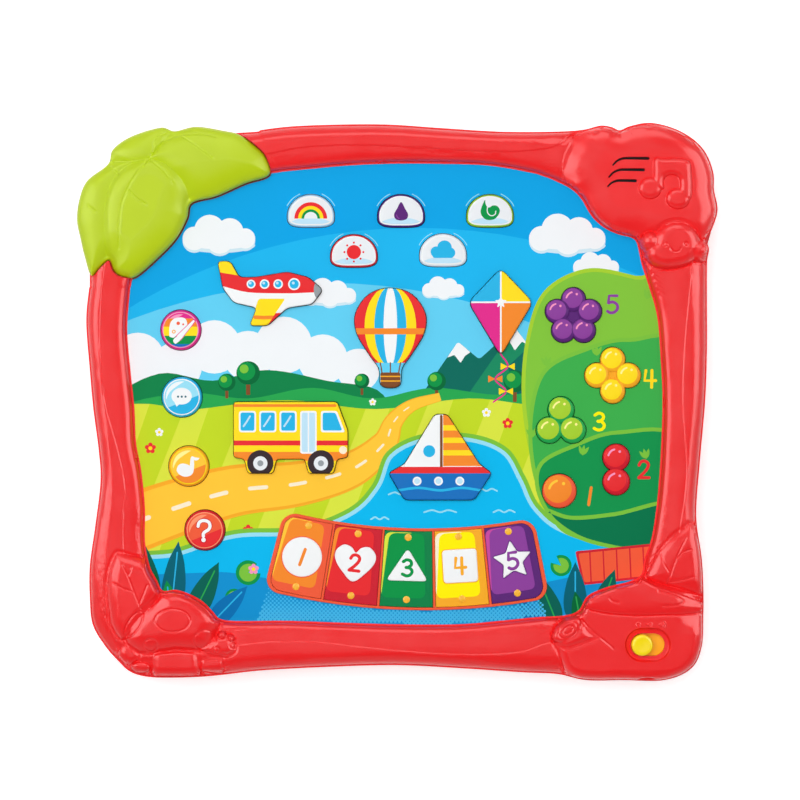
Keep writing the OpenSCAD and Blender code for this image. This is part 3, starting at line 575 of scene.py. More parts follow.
def coat_node(node, material):
    """The CAD node stays as it is and gets a finish."""
    mesh = frame["nodes"][node].data
    mesh.materials.clear()
    mesh.materials.append(material)


def outward(points, faces):
    """The faces, turned over if they enclose a negative volume."""
    p = np.asarray(points, float)
    total = 0.0
    for face in faces:
        for k in range(1, len(face) - 1):
            total += np.dot(p[face[0]], np.cross(p[face[k]], p[face[k + 1]]))
    return faces if total > 0 else [list(reversed(face)) for face in faces]


def joined(forms):
    """Points and faces of several closed forms as one."""
    points, faces = [], []
    for corners, sides in forms:
        faces += [[v + len(points) for v in side] for side in sides]
        points += list(corners)
    return points, faces


def capped(loops):
    """Points and faces of a closed form over loops from bottom to top, its two ends closed."""
    loops = np.asarray(loops, float)
    m, n = loops.shape[:2]
    index = np.arange(m * n).reshape(m, n)
    faces = []
    for k in range(m - 1):
        low, high = index[k], index[k + 1]
        faces += np.stack([low, np.roll(low, -1), np.roll(high, -1), high], -1).tolist()
    faces += [index[0][::-1].tolist(), index[-1].tolist()]
    points = loops.reshape(-1, 3)
    return points, outward(points, faces)


def level(loop, z):
    """The flat loop at a height."""
    return np.column_stack([loop, np.full(len(loop), z)])


def tower(*rows):
    """Points and faces of a closed form over flat loops, each with its height, upwards."""
    return capped([level(loop, z) for loop, z in rows])


def cut_away(piece, cutters):
    """Subtracts closed forms, given as points and faces, from a piece."""
    material = piece.data.materials[0]
    tools = [solid("cutter", points, faces, material) for points, faces in cutters]
    for tool in tools:
        modifier = piece.modifiers.new("cut", "BOOLEAN")
        modifier.operation = "DIFFERENCE"
        modifier.object = tool
        modifier.solver = "MANIFOLD"
    before = len(piece.data.polygons)
    applied(piece)
    if len(piece.data.polygons) < before // 2:
        raise RuntimeError("the cut left too little of " + piece.name)
    for tool in tools:
        bpy.data.objects.remove(tool)


def evenly(path, pitch):
    """Points at an even pitch along an open path."""
    path = np.asarray(path, float)
    at = np.concatenate([[0], np.cumsum(np.linalg.norm(np.diff(path, axis=0), axis=1))])
    where = np.linspace(0, at[-1], max(int(round(at[-1] / pitch)), 2) + 1)
    return np.column_stack([np.interp(where, at, path[:, 0]), np.interp(where, at, path[:, 1])])


def closed(loop):
    """The loop as a path that ends where it starts."""
    return np.vstack([loop, loop[:1]])


def shifted(path, distance):
    """The path moved to its left by a distance."""
    return path + distance * leftward(heading(path))


def honeycomb(low, high, pitch):
    """Points in staggered rows over a rectangle."""
    x, y = np.meshgrid(np.arange(low[0], high[0], pitch), np.arange(low[1], high[1], pitch * ROW_SHARE))
    x += (np.arange(len(x)) % 2)[:, None] * pitch / 2
    return np.column_stack([x.ravel(), y.ravel()])


def ring_edges(first, n):
    """Edges round n points, numbered from the first."""
    return [(first + k, first + (k + 1) % n) for k in range(n)]


def triangulated(points, edges):
    """Corners, triangles that keep the edges, and the points that each corner stands for."""
    found = delaunay_2d_cdt([Vector(p) for p in points], edges, [], 0, MERGE_DISTANCE)
    return np.array([tuple(v) for v in found[0]]), np.array(found[2]), found[3]


class Relief:
    """The triangles of a shaped top inside a rim, and outside a hole where there is one."""

    def __init__(self, rim, hole=None):
        self.points, self.edges = [], []
        self.rim, self.hole = rim, hole
        self.rim_places = self.ring(rim)
        self.hole_places = [] if hole is None else self.ring(hole)

    def ring(self, loop):
        """Adds a closed loop, and returns the numbers of its points."""
        first, n = len(self.points), len(loop)
        self.points += list(loop)
        self.edges += ring_edges(first, n)
        return list(range(first, first + n))

    def clear(self, points):
        """True for each point on the top that keeps away from its borders."""
        keep = depth_in(points, self.rim, RELIEF_GAP) > RELIEF_GAP
        if self.hole is not None:
            keep &= depth_in(points, self.hole, RELIEF_GAP) <= -RELIEF_GAP
        return keep

    def spots(self, points):
        """Adds loose points."""
        self.points += list(points[self.clear(points)])

    def path(self, points, sides=()):
        """Adds a path as edges, and loose points beside it."""
        keep = self.clear(points)
        place = (len(self.points) + np.cumsum(keep) - 1).tolist()
        self.edges += [(place[k], place[k + 1]) for k in range(len(points) - 1) if keep[k] and keep[k + 1]]
        self.points += list(points[keep])
        for distance in sides:
            self.spots(shifted(points, distance))

    def triangles(self):
        """Corners, triangles, and the corners on the rim and on the hole."""
        corners, triangles, stands_for = triangulated(self.points, self.edges)
        place = {source: k for k, sources in enumerate(stands_for) for source in sources}
        middles = corners[triangles].mean(axis=1)
        keep = inside(middles, self.rim)
        if self.hole is not None:
            keep &= ~inside(middles, self.hole)
        return (corners, triangles[keep].tolist(), [place[k] for k in self.rim_places],
                [place[k] for k in self.hole_places])


def wall(upper, lower):
    """Faces between two closed rows of corners, seen from the right of the upper one."""
    n = len(upper)
    return [[upper[(k + 1) % n], upper[k], lower[k], lower[(k + 1) % n]] for k in range(n)]


class Print:
    """Flat inks laid over one another inside an outline; a later layer covers an earlier one."""

    def __init__(self, outline, ink, x=0, y=0):
        self.place = np.array([x, y], float)
        self.layers = []
        self.area(outline, ink)

    def area(self, loop, ink, on=None):
        """Adds a layer; on limits it to places that show one of these inks."""
        self.layers.append((anticlockwise(loop) + self.place, ink, on))

    def line(self, path, width, ink, on=None, ends=None):
        """Adds a line of some width."""
        self.area(stroke(path, width, ends), ink, on)

    def discs(self, x, y, *rings):
        """Adds discs on one centre, each a radius, a number of sides and an ink."""
        for r, n, ink in rings:
            self.area(disc(x, y, r, n), ink)

    def steps(self, loop, depths):
        """Adds edges inside a loop, so that the sheet can bend there."""
        for depth in depths:
            self.area(grown(anticlockwise(loop), -depth), KEEP)

    def outline(self):
        """The sheet's outline in place."""
        return self.layers[0][0]

    def triangles(self):
        """Corners, triangles and the ink of each triangle."""
        points, edges = [], []
        for loop, ink, on in self.layers:
            edges += ring_edges(len(points), len(loop))
            points += list(loop)
        corners, triangles, stands_for = triangulated(points, edges)
        middles = corners[triangles].mean(axis=1)
        shown = np.where(inside(middles, self.outline()), self.layers[0][1], HOLE).astype(object)
        for loop, ink, on in self.layers[1:]:
            if ink != KEEP:
                painted = inside(middles, loop) & (shown != HOLE)
                if on is not None:
                    painted &= np.isin(shown.astype(str), on)
                shown[painted] = ink
        kept = shown != HOLE
        return corners, triangles[kept].tolist(), shown[kept].tolist()


def printed(name, sheet, top, base, lift=None, side="white"):
    """A closed printed piece: the sheet on top, plain sides and back; lift moves the sheet up or down."""
    corners, triangles, inks = sheet.triangles()
    used = sorted({v for t in triangles for v in t})
    place = {v: k for k, v in enumerate(used)}
    flat = corners[used]
    triangles = [[place[v] for v in t] for t in triangles]
    n = len(used)
    z = np.full(n, float(top)) + (lift(flat) if lift else 0)
    points = np.vstack([np.column_stack([flat, z]), level(flat, base)])
    around = {(t[k], t[(k + 1) % 3]) for t in triangles for k in range(3)}
    rim = [(a, b) for a, b in around if (b, a) not in around]
    faces = triangles + [[v + n for v in reversed(t)] for t in triangles]
    faces += [[b, a, a + n, b + n] for a, b in rim]
    piece = solid(name, points, faces, printed_finish())
    chosen = bpy.context.scene.board_inks
    table = {key: linear(getattr(chosen, key)) for key in INKS}
    shades = [table[ink] for ink in inks] + [table[side]] * (len(faces) - len(inks))
    counts = [len(face) for face in faces]
    values = np.repeat(np.array(shades, np.float32), counts, axis=0)
    attribute = piece.data.attributes.new("ink", "FLOAT_COLOR", "CORNER")
    attribute.data.foreach_set("color", values.ravel())
    return piece


def cap(node, sheet, lift, side):
    """A control's printed top, which stands for its CAD node."""
    dress(printed(node + "_cap", sheet, top_of(node), PAD_BASE_Z, lift, side), node)


def rolled(sheet, loop, radius):
    """Adds bending edges for a rolled rim and returns the lift that rolls it."""
    sheet.steps(loop, [radius * f for f in (0.08, 0.25, 0.5, 0.75, 1.0)])
    edge = anticlockwise(loop) + sheet.place
    return lambda flat: radius * (swell(depth_in(flat, edge), radius) - 1)


# Repeated pieces

def scatter_tree(name, shape):
    """A node tree that puts a small form on every point; shape builds it and returns its socket."""
    tree = bpy.data.node_groups.new(name, "GeometryNodeTree")
    for key, kind in (("Points", "Geometry"), ("Radius", "Float"), ("Height", "Float"),
                      ("Material", "Material")):
        tree.interface.new_socket(key, in_out="INPUT", socket_type="NodeSocket" + kind)
    tree.interface.new_socket("Geometry", in_out="OUTPUT", socket_type="NodeSocketGeometry")
    entry = add_node(tree, "NodeGroupInput").outputs
    size = add_node(tree, "GeometryNodeInputNamedAttribute", {"Name": "size"})
    instance = add_node(tree, "GeometryNodeInstanceOnPoints", {
        "Points": entry["Points"], "Instance": shape(tree, entry), "Scale": size.outputs["Attribute"]})
    real = add_node(tree, "GeometryNodeRealizeInstances", {"Geometry": instance.outputs["Instances"]})
    paint = add_node(tree, "GeometryNodeSetMaterial", {
        "Geometry": real.outputs["Geometry"], "Material": entry["Material"]})
    add_node(tree, "NodeGroupOutput", {"Geometry": paint.outputs["Geometry"]})
    return tree


def cone_shape(sides, taper):
    """A shape builder for a round form with straight sides; taper is its top's share of its foot."""
    def build(tree, entry):
        cone = add_node(tree, "GeometryNodeMeshCone", {
            "Vertices": sides, "Radius Bottom": entry["Radius"], "Depth": entry["Height"],
            "Radius Top": worked_out(tree, "MULTIPLY", entry["Radius"], taper)})
        return cone.outputs["Mesh"]
    return build


def dome_shape(tree, entry):
    """A shape builder for a flattened ball."""
    ball = add_node(tree, "GeometryNodeMeshUVSphere", {"Segments": 24, "Rings": 12, "Radius": 1.0})
    scale = add_node(tree, "ShaderNodeCombineXYZ", {
        "X": entry["Radius"], "Y": entry["Radius"], "Z": entry["Height"]})
    squash = add_node(tree, "GeometryNodeTransform", {
        "Geometry": ball.outputs["Mesh"], "Scale": scale.outputs["Vector"]})
    return squash.outputs["Geometry"]


def scattered(name, tree, points, radius, height, material, share_of_size=None):
    """One plain mesh of the tree's form on every point; points, radius and height are in millimetres."""
    mesh = new_mesh(name, points, [])
    values = np.ones(len(points)) if share_of_size is None else np.asarray(share_of_size, float)
    attribute = mesh.attributes.new("size", "FLOAT", "POINT")
    attribute.data.foreach_set("value", values.astype(np.float32))
    piece = placed(name, mesh)
    modifier = piece.modifiers.new("scatter", "NODES")
    modifier.node_group = tree
    inputs = {"Radius": radius * MM, "Height": height * MM, "Material": material}
    for item in tree.interface.items_tree:
        if item.item_type == "SOCKET" and item.in_out == "INPUT" and item.name in inputs:
            modifier[item.identifier] = inputs[item.name]
    applied(piece)
    return piece


# Front frame: stations of outer x, y and inner x, y, anticlockwise from the right, with steps between them
FRAME_SPANS = (
    ("right side", 8, False, ((173, 0, 149, 0), (174, 28, 148, 24), (174, 56, 146, 48), (174, 72, 141, 66))),
    ("cloud", 6, False, (
        (174.2, 80, 137.4, 77), (175.2, 86, 135.6, 85.5), (173.8, 91.5, 134.2, 90.2), (177, 97.5, 131, 92.6),
        (180, 108, 124.5, 94.2), (178, 119.2, 118, 97), (177.6, 129, 113, 100.5), (173.4, 140, 109.2, 104.6),
        (166, 148, 106.4, 109), (155, 154, 104.2, 113), (142, 157, 101, 117), (131, 155.2, 97, 120.2),
        (125, 152.8, 93, 122.4), (120.4, 154.6, 89.5, 124), (114, 155.4, 86, 125.6), (104, 153, 81, 127.3),
        (88, 152, 75, 129))),
    ("top side", 8, False, (
        (58, 152, 51, 133), (25, 154, 22, 134), (-5, 156, -5, 134), (-33, 156, -28, 133),
        (-59, 155, -50, 131), (-76, 153, -65, 129.5))),
    ("palm seat", 4, True, (
        (-79, 152, -68, 129), (-94, 151, -85, 127), (-114, 149, -99, 124), (-134, 146, -114, 119),
        (-156, 137, -125, 109), (-169, 121, -133, 97), (-173, 103, -141, 86), (-173, 85, -147, 77),
        (-173, 66, -150, 65))),
    ("left side", 8, False, (
        (-173.5, 63, -150.5, 62), (-175, 45, -152, 40), (-173, 18, -150, 16), (-171, -4, -148, -3),
        (-168, -27, -147, -23), (-167, -45, -144, -39))),
    ("ladybird", 6, False, (
        (-170, -70, -142, -60), (-173, -92, -142, -78), (-173, -110, -139.4, -92),
        (-171.4, -125, -135.4, -100), (-164.5, -137, -132, -106), (-157, -145.6, -124.5, -105.6),
        (-150, -151.8, -116.5, -108.2), (-140, -154.6, -109.5, -112.2), (-126, -155, -104, -117.6),
        (-112, -154.6, -99.6, -122), (-98, -153.4, -89, -123.2))),
    ("bottom side", 8, False, (
        (-77, -151, -64, -123), (-40, -149, -34, -124), (0, -148, 0, -125), (40, -150, 34, -125),
        (70, -152, 58, -123), (90, -153, 78, -121))),
    ("stump", 8, False, (
        (106, -156.4, 94, -120), (127, -156.4, 102, -117), (150, -156.4, 107, -109), (165, -150, 118, -104),
        (171, -138, 130, -101), (172, -120, 137, -97), (172, -104, 139, -88), (171, -87, 143, -76),
        (168, -64, 146, -56), (170, -34, 148, -30))),
)
CREASE = (
    (158.6, -68), (161, -52.5), (162, -35), (160.8, -17), (159.8, 0.6), (160.3, 21.5), (161.7, 43),
    (163.4, 60), (164.2, 74.5), (158, 100), (130, 135), (101, 149.6), (88, 143), (68.3, 140.5), (47, 140.5),
    (14.3, 142.4), (-18.3, 144), (-50.5, 143), (-74.3, 138.7), (-110, 134), (-140, 116), (-159, 95),
    (-165, 68.6), (-166.7, 42.2), (-166.2, 19), (-163.4, -2.5), (-158.4, -20.7), (-154.3, -37),
    (-152.6, -50.5), (-153.5, -63.6), (-152, -90), (-138, -120), (-110, -134), (-90, -136), (-71.7, -134.4),
    (-45.8, -134.4), (-22, -137), (4, -139.5), (30, -141.2), (56, -141.2), (71, -139.5), (86, -134.7),
    (115, -132), (148, -110), (156, -85))
CLOUD = (
    (105, 154.5), (110, 156), (116, 157), (121, 156), (124.7, 154.3), (129, 156), (135, 157.5), (143, 158),
    (151.5, 157), (160, 154.3), (168, 149.6), (174.3, 142.5), (178.4, 134.6), (180, 125), (180, 119.2),
    (181.5, 114), (182, 108), (181, 101), (178.8, 95), (174.5, 90.3), (167.5, 88), (152.5, 87), (140, 89),
    (135, 90.6), (126, 91), (118.6, 92.6), (112.6, 96.2), (107.6, 100.6), (105, 104.6), (103, 109.6),
    (100.6, 114.6), (96.4, 118.8), (94.6, 124), (93, 130), (93.6, 137), (96.4, 143), (100, 149))
SHELL = (
    (-153, -129), (-151, -123), (-145, -116.5), (-137, -110.5), (-132, -105.5), (-125.5, -103.8),
    (-118, -105), (-111.5, -108.4), (-105.8, -112.6), (-101.8, -117), (-99.6, -121.6), (-100, -126),
    (-101.5, -130.5), (-103.5, -136.5), (-109, -139.5), (-116.5, -140), (-123.5, -139.5), (-131, -140.5),
    (-138.5, -141.5), (-145, -141), (-150, -138), (-153, -134))
LEAF = (
    (-156.8, -83.4), (-159.7, -86.5), (-162.4, -93.8), (-163.4, -103), (-162.8, -114), (-160.6, -126),
    (-153, -134), (-140, -122), (-130, -106), (-129.8, -103.6), (-131.6, -97.6), (-135.4, -91.8),
    (-141.2, -88.4), (-146.9, -86.2), (-152.4, -84.6))
HEAD = (
    (-104, -131.5), (-100.5, -130), (-97, -129.6), (-93.2, -130.4), (-90.8, -133.4), (-89.9, -136.5),
    (-90.2, -139.5), (-92, -141.7), (-95.7, -143.3), (-102.4, -142.9), (-108.5, -141.1), (-112, -138))
STUMP = (
    (101.5, -116), (103.7, -112), (107.4, -108), (112.2, -104), (119.6, -100.3), (126.9, -98.2),
    (136, -98.3), (144, -100.5), (153.1, -103.2), (162.2, -105.7), (169.6, -108.4), (174, -112),
    (175, -122), (174.6, -139), (170, -151), (159, -158.6), (138, -160), (116, -160), (100, -159),
    (95, -153), (91.5, -146), (89.5, -140), (86.5, -134), (87.5, -127), (92.5, -122.5), (97, -119))
STUMP_FACE = (
    (103.5, -113), (107.4, -108), (112.2, -104), (119.6, -100.3), (126.9, -98.2), (136, -99.4), (144, -103),
    (153, -106), (161.5, -109), (168, -111.6), (170.8, -114), (170.6, -116.2), (168.3, -117.8),
    (162.2, -118.8), (147.6, -119), (137.9, -119.4), (127.5, -119.1), (117.1, -118.1), (107.5, -116.2))
LOG = (
    (92.7, -123), (98.2, -120.4), (103.1, -121.8), (107.4, -127.4), (112, -131.8), (106, -134.8),
    (100, -137), (94.6, -138.4), (89, -135.6), (86.6, -131), (88.5, -126.7))
LOG_END = (
    (86.6, -131), (88.5, -126.7), (92.7, -123), (98.2, -120.6), (101.9, -120.6), (103.1, -124.2),
    (101.3, -128.5), (97.6, -132.2), (92.1, -134.6), (87.8, -134))
STUMP_LEAF = (
    (164.5, -68), (160, -70), (154, -74.5), (149, -80), (145, -86), (142, -92), (140, -99), (150, -104),
    (162, -107), (173, -109), (175, -97), (173.5, -85), (170, -74))
SPEAKER_SLOTS = (
    ((120.5, 132.5), (122.5, 134.6), (125.5, 136), (129, 136.3), (140, 136.2)),
    ((118.3, 125.8), (120.6, 128.2), (123.6, 129.6), (127, 129.9), (137.5, 129.8)),
    ((117.6, 120.5), (119.6, 122.4), (122, 123.5), (125, 123.8), (133, 123.7)))
SPEAKER_SLOT_ENDS = (0.8, 1.6)
CARVED_CORNERS = (((82, 60), (182, 159)), ((-182, -159), (-84, -58)), ((80, -159), (182, -58)))

# Rows of mesh corners, in millimetres from the frame's inner and outer border,
# and beside a crease, a form, a line or a fold
LIP_ROWS = (0.15, 0.5, 1.0, 1.7, 2.6)
EDGE_ROWS = (0.2, 0.7, 1.5, 2.6, 4.0, 5.6)
CREASE_ROWS = (-0.9, -0.55, -0.25, 0.25, 0.55, 0.9)
FORM_ROWS = [-0.5, -1.1, -1.8]
LINE_ROWS = (-1.1, -0.7, -0.35, 0.35, 0.7, 1.1)
FOLD_ROWS = (-1.6, -0.9, -0.4, 0.4, 0.9, 1.6)

SWITCH = (140.0, -135.8)
SLOT_LENGTH = 19.2
SLOT_WIDTH = 12.6
RECESS_RIM = 3.0
RECESS_DEPTH = 2.4
POCKET_Z = PLATEAU_Z - 5.6


def frame_forms():
    """Sculpted corner forms: outlines, level of the edge, rise, distance of the rise, valley round it."""
    notes = (smooth_loop(((143.2, 128), (143.2, 135), (145.2, 136.8), (148.5, 136.2), (158, 136.2),
                          (162.5, 135), (164.4, 131), (164.4, 114), (157.9, 114), (157.9, 122.6),
                          (156.4, 125.8), (153.2, 126.8), (150, 125.6), (148.9, 122.6), (148.9, 119),
                          (143.2, 119)), 4),
             oval(141.2, 119.4, 6.5, 6.1), oval(156.8, 113.6, 6.8, 5.9))
    small_cloud = (oval(141.6, 90, 5.6, 6.0), oval(156.4, 88.6, 13.4, 13.4), oval(169.4, 84.8, 6.6, 6.2),
                   oval(151, 83.2, 12, 9), oval(163, 86, 9, 4.8))
    forms = [((smooth_loop(CLOUD),), FACE_Z + 6, 5.2, 17.0, 0.5), (notes, PLATEAU_Z - 0.3, 2.7, 3.4, 0.2),
             (small_cloud, FACE_Z + 6.4, 6.6, 6.5, 0.7)]
    edge = FACE_Z + 5
    foot = rounded(((-111, -143), (-97, -143), (-97, -151), (-111, -151)), 3.0)
    belly = rounded(((-138, -138), (-111, -138), (-110, -155), (-138, -155)), 6.0)
    forms += [((smooth_loop(LEAF),), FACE_Z + 4.6, 6.8, 9.0, 0.6),
              ((oval(-150, -141, 6.2, 6.0),), edge, 2.8, 4.5, 0.4),
              ((oval(-143.8, -148.5, 5.6, 3.2),), edge, 2.6, 2.8, 0.4),
              ((foot,), edge, 3.0, 3.4, 0.4),
              ((belly,), edge, 4.0, 6.0, 0.4),
              ((smooth_loop(HEAD),), edge, 5.2, 6.0, 0.5),
              ((disc(-98.3, -130.6, 2.2), disc(-93.4, -132.4, 2.0)), FACE_Z + 8, 2.4, 2.0, 0.3),
              ((smooth_loop(SHELL),), FACE_Z + 4, 8.6, 13.0, 0.6)]
    forms += [((smooth_loop(STUMP_LEAF),), edge, 4.6, 9.0, 0.5),
              ((smooth_loop(STUMP),), edge, 6.0, 6.0, 0.5),
              ((smooth_loop(STUMP_FACE),), PLATEAU_Z - 0.4, 1.5, 9.0, 0.35),
              ((smooth_loop(LOG),), PLATEAU_Z - 4, 5.0, 5.0, 0.5),
              ((smooth_loop(LOG_END),), PLATEAU_Z - 2, 3.4, 2.6, 0.4)]
    return forms


def switch_marks():
    """Outlines of the three raised marks over the switch: a ring, a quiet horn and a loud horn."""
    y = SWITCH[1] + 11.3
    loops = [stroke(arc(134.6, y, 1.3, -50, 230, 14), 0.7)]
    for x, waves in ((141.2, 1), (147.9, 2)):
        loops.append(np.array(((x - 2, y - 0.6), (x - 1.2, y - 0.6), (x, y - 1.5), (x, y + 1.5),
                               (x - 1.2, y + 0.6), (x - 2, y + 0.6))))
        loops += [stroke(arc(x - 0.6, y, 1.7 + 1.1 * step, -40, 40, 8), 0.7) for step in range(waves)]
    return [anticlockwise(loop) for loop in loops]


def frame_lines():
    """Lines cut in the corner forms."""
    lines = [smooth_path(p) for p in (
        ((-154, -91), (-150.6, -97.3), (-147.5, -105.5), (-143.5, -115.5)),
        ((-147.8, -106), (-152.5, -104.6), (-158.2, -101.7)),
        ((-150.6, -97.3), (-149.3, -95), (-148.7, -92.6)), ((-143.9, -112.4), (-141.8, -107), (-140, -102.4)),
        ((161.5, -76), (156, -87.5), (151, -102)), ((156, -87.5), (160, -84), (164.5, -82.5)),
        ((152, -95), (149, -90), (147.5, -85)), ((151.5, -101), (158, -100), (165.5, -98)),
        ((103.1, -121.8), (109.8, -128.5), (120.8, -137.7)), STUMP_FACE[10:],
        ((146, -105.6), (152, -107.2), (157.6, -109.6), (159.8, -111.6), (156.1, -113.5), (148.8, -114)),
        ((118.5, -109.6), (120, -111.2), (123.4, -112)))]
    for loop in (oval(-125.6, -122, 9.8, 6.4), oval(-147.4, -124.3, 3.4, 8.2, -32), disc(-138, -136, 3.6),
                 disc(-107.6, -133.6, 6.1), disc(-92, -136.2, 1.8), disc(-101.3, -138.8, 1.7),
                 disc(149.6, 87.9, 1.0), disc(161.2, 88.1, 1.0), oval(95.2, -127.4, 5.8, 3.9, 35),
                 oval(95.4, -127.2, 2.9, 1.8, 35)):
        lines.append(closed(loop))
    lines.append(arc(155.4, 86.8, 2.9, 200, 340))
    lines.append(arc(-95.4, -137.2, 3.6, 240, 310))
    return lines


def frame_height(points, outer, inner):
    """Height of the frame's top at points between its two borders."""
    # Distances from the two borders, in whole millimetres
    within = np.maximum(np.trunc(-depth_in(points, inner, WHOLE_BOARD)), 0)
    beyond = np.maximum(np.trunc(depth_in(points, outer, WHOLE_BOARD)), 0)
    along = within / (within + beyond)
    slope = LIP_Z + (CREST_Z - LIP_Z) * swell(along, CREST_AT)
    out = ROLL_END * np.clip((along - CREST_AT) / (1 - CREST_AT), 0, 1)
    roll = SHOULDER_Z + (CREST_Z - SHOULDER_Z) * np.sqrt(1 - out ** ROLL_POWER)
    z = np.where(along < CREST_AT, slope, roll)
    inward = depth_in(points, outline_of(CREASE))
    z -= sizes("crease_step") * ease(inward / 0.8 + 0.5) * np.exp(-np.maximum(inward, 0) / CREASE_FADE)
    z -= sizes("lip_roll") * (1 - swell(within, sizes("lip_roll")))
    edge = np.minimum(swell(within, 3.0), swell(beyond, 6.0))
    carved = np.zeros(len(points), bool)
    for loops, foot, rise, reach, valley in frame_forms():
        blend = BLEND_SHARE * reach
        depths = [depth_in(points, anticlockwise(loop)) / blend for loop in loops]
        depth = blend * np.logaddexp.reduce(depths)
        z = z - valley * np.clip(1 + depth / sizes("valley_width"), 0, 1) ** 2 * edge
        form = foot + rise * swell(depth, reach) ** (2 if reach > SOFT_REACH else 1.2)
        ramp = ease(1 + depth / EDGE_RAMP)
        raised = (ramp > 0) & (form > z)
        z = np.where(raised, z + (form - z) * edge * ramp, z)
        carved |= raised
    x, y = points.T
    stump = ease(depth_in(points, outline_of(STUMP)) / 3)
    z -= sizes("stump_fall") * stump * ease((x - 155) / 17) * ease((y + 130) / 10) * edge
    cut = np.zeros(len(points))
    for path in frame_lines():
        cut = np.maximum(cut, np.exp(-(distance_to(points, path) / sizes("carving_width")) ** 2))
    return z - np.where(carved, sizes("carving") * cut * edge, 0)


def frame_borders():
    """Outer and inner border of the frame, and how much of each place is the palm's seat."""
    rows = [(row, steps, low) for name, steps, low, rows in FRAME_SPANS for row in rows]
    stations = np.array([row for row, steps, low in rows], float)
    counts = [steps for row, steps, low in rows]
    lows = [float(low) for row, steps, low in rows]
    seat = np.concatenate([np.linspace(a, b, n, endpoint=False)
                           for a, b, n in zip(lows, lows[1:] + lows[:1], counts)])
    return smooth_loop(stations[:, :2], counts), smooth_loop(stations[:, 2:], counts), seat


def frame_top(outer, inner):
    """Triangles of the frame's top, close together in the sculpted corners."""
    top = Relief(outer, inner)
    width = np.linalg.norm(outer - inner, axis=1)[:, None]
    way = (outer - inner) / width
    for gap in LIP_ROWS:
        top.ring(inner + way * gap)
    for gap in EDGE_ROWS:
        top.ring(outer - way * gap)
    crease = closed(smooth_loop(CREASE))
    bars = np.vstack([inner + way * (3.4 + (width - 9.8) * f) for f in np.linspace(0, 1, 14)])
    bars = bars[distance_to(bars, crease) > 1.3]
    for low, high in CARVED_CORNERS:
        fill = honeycomb(low, high, 0.8)
        fill = fill[(depth_in(fill, outer, 7.0) > 6.2) & (depth_in(fill, inner, 3.2) <= -3.2)]
        top.spots(fill)
        bars = bars[~boxed(bars, low, high)]
    top.spots(bars)
    top.path(evenly(crease, 1.2), CREASE_ROWS)
    for loops, foot, rise, reach, valley in frame_forms():
        for loop in loops:
            around = closed(anticlockwise(loop))
            pitch = min(0.6, np.linalg.norm(np.diff(around, axis=0), axis=1).sum() / 36)
            steps = [reach * f for f in (0.02, 0.06, 0.14, 0.26)]
            top.path(evenly(around, pitch), steps + FORM_ROWS)
    for path in frame_lines():
        top.path(evenly(path, 0.45), LINE_ROWS)
    return top.triangles()


def frame_shell():
    """Points and faces of the frame's closed shell."""
    outer, inner, seat = frame_borders()
    flat, faces, rim, hole = frame_top(outer, inner)
    width = np.linalg.norm(outer - inner, axis=1)
    rows = [(np.ones(len(outer)), np.full(len(outer), PARTING_Z))]
    side, lip = 1 - WALL / width, (LIP_COVER + 1) / width
    rows.append((side, rows[0][1]))
    for f in (0.0, 0.3, 0.6):
        where = side + (lip - side) * f
        place = inner + (outer - inner) * where[:, None]
        ceiling = FACE_Z + INNER_CEILING - SEAT_DROP * seat
        rows.append((where, np.clip(frame_height(place, outer, inner) - WALL, FACE_Z, ceiling)))
    rows += [(lip, np.full(len(outer), FACE_Z)), (np.zeros(len(outer)), np.full(len(outer), FACE_Z))]
    points = [np.column_stack([flat, frame_height(flat, outer, inner)])]
    upper, total = rim, len(flat)
    for where, height in rows:
        points.append(np.column_stack([inner + (outer - inner) * where[:, None], height]))
        lower = list(range(total, total + len(outer)))
        faces += wall(upper, lower)
        upper, total = lower, total + len(outer)
    faces += wall(upper, hole)
    return np.vstack(points), faces


def oblong(x, y, size, width):
    """A slot's outline with round ends."""
    reach = (size - width) / 2
    return np.vstack([arc(x + reach, y, width / 2, -90, 90, 16), arc(x - reach, y, width / 2, 90, 270, 16)])


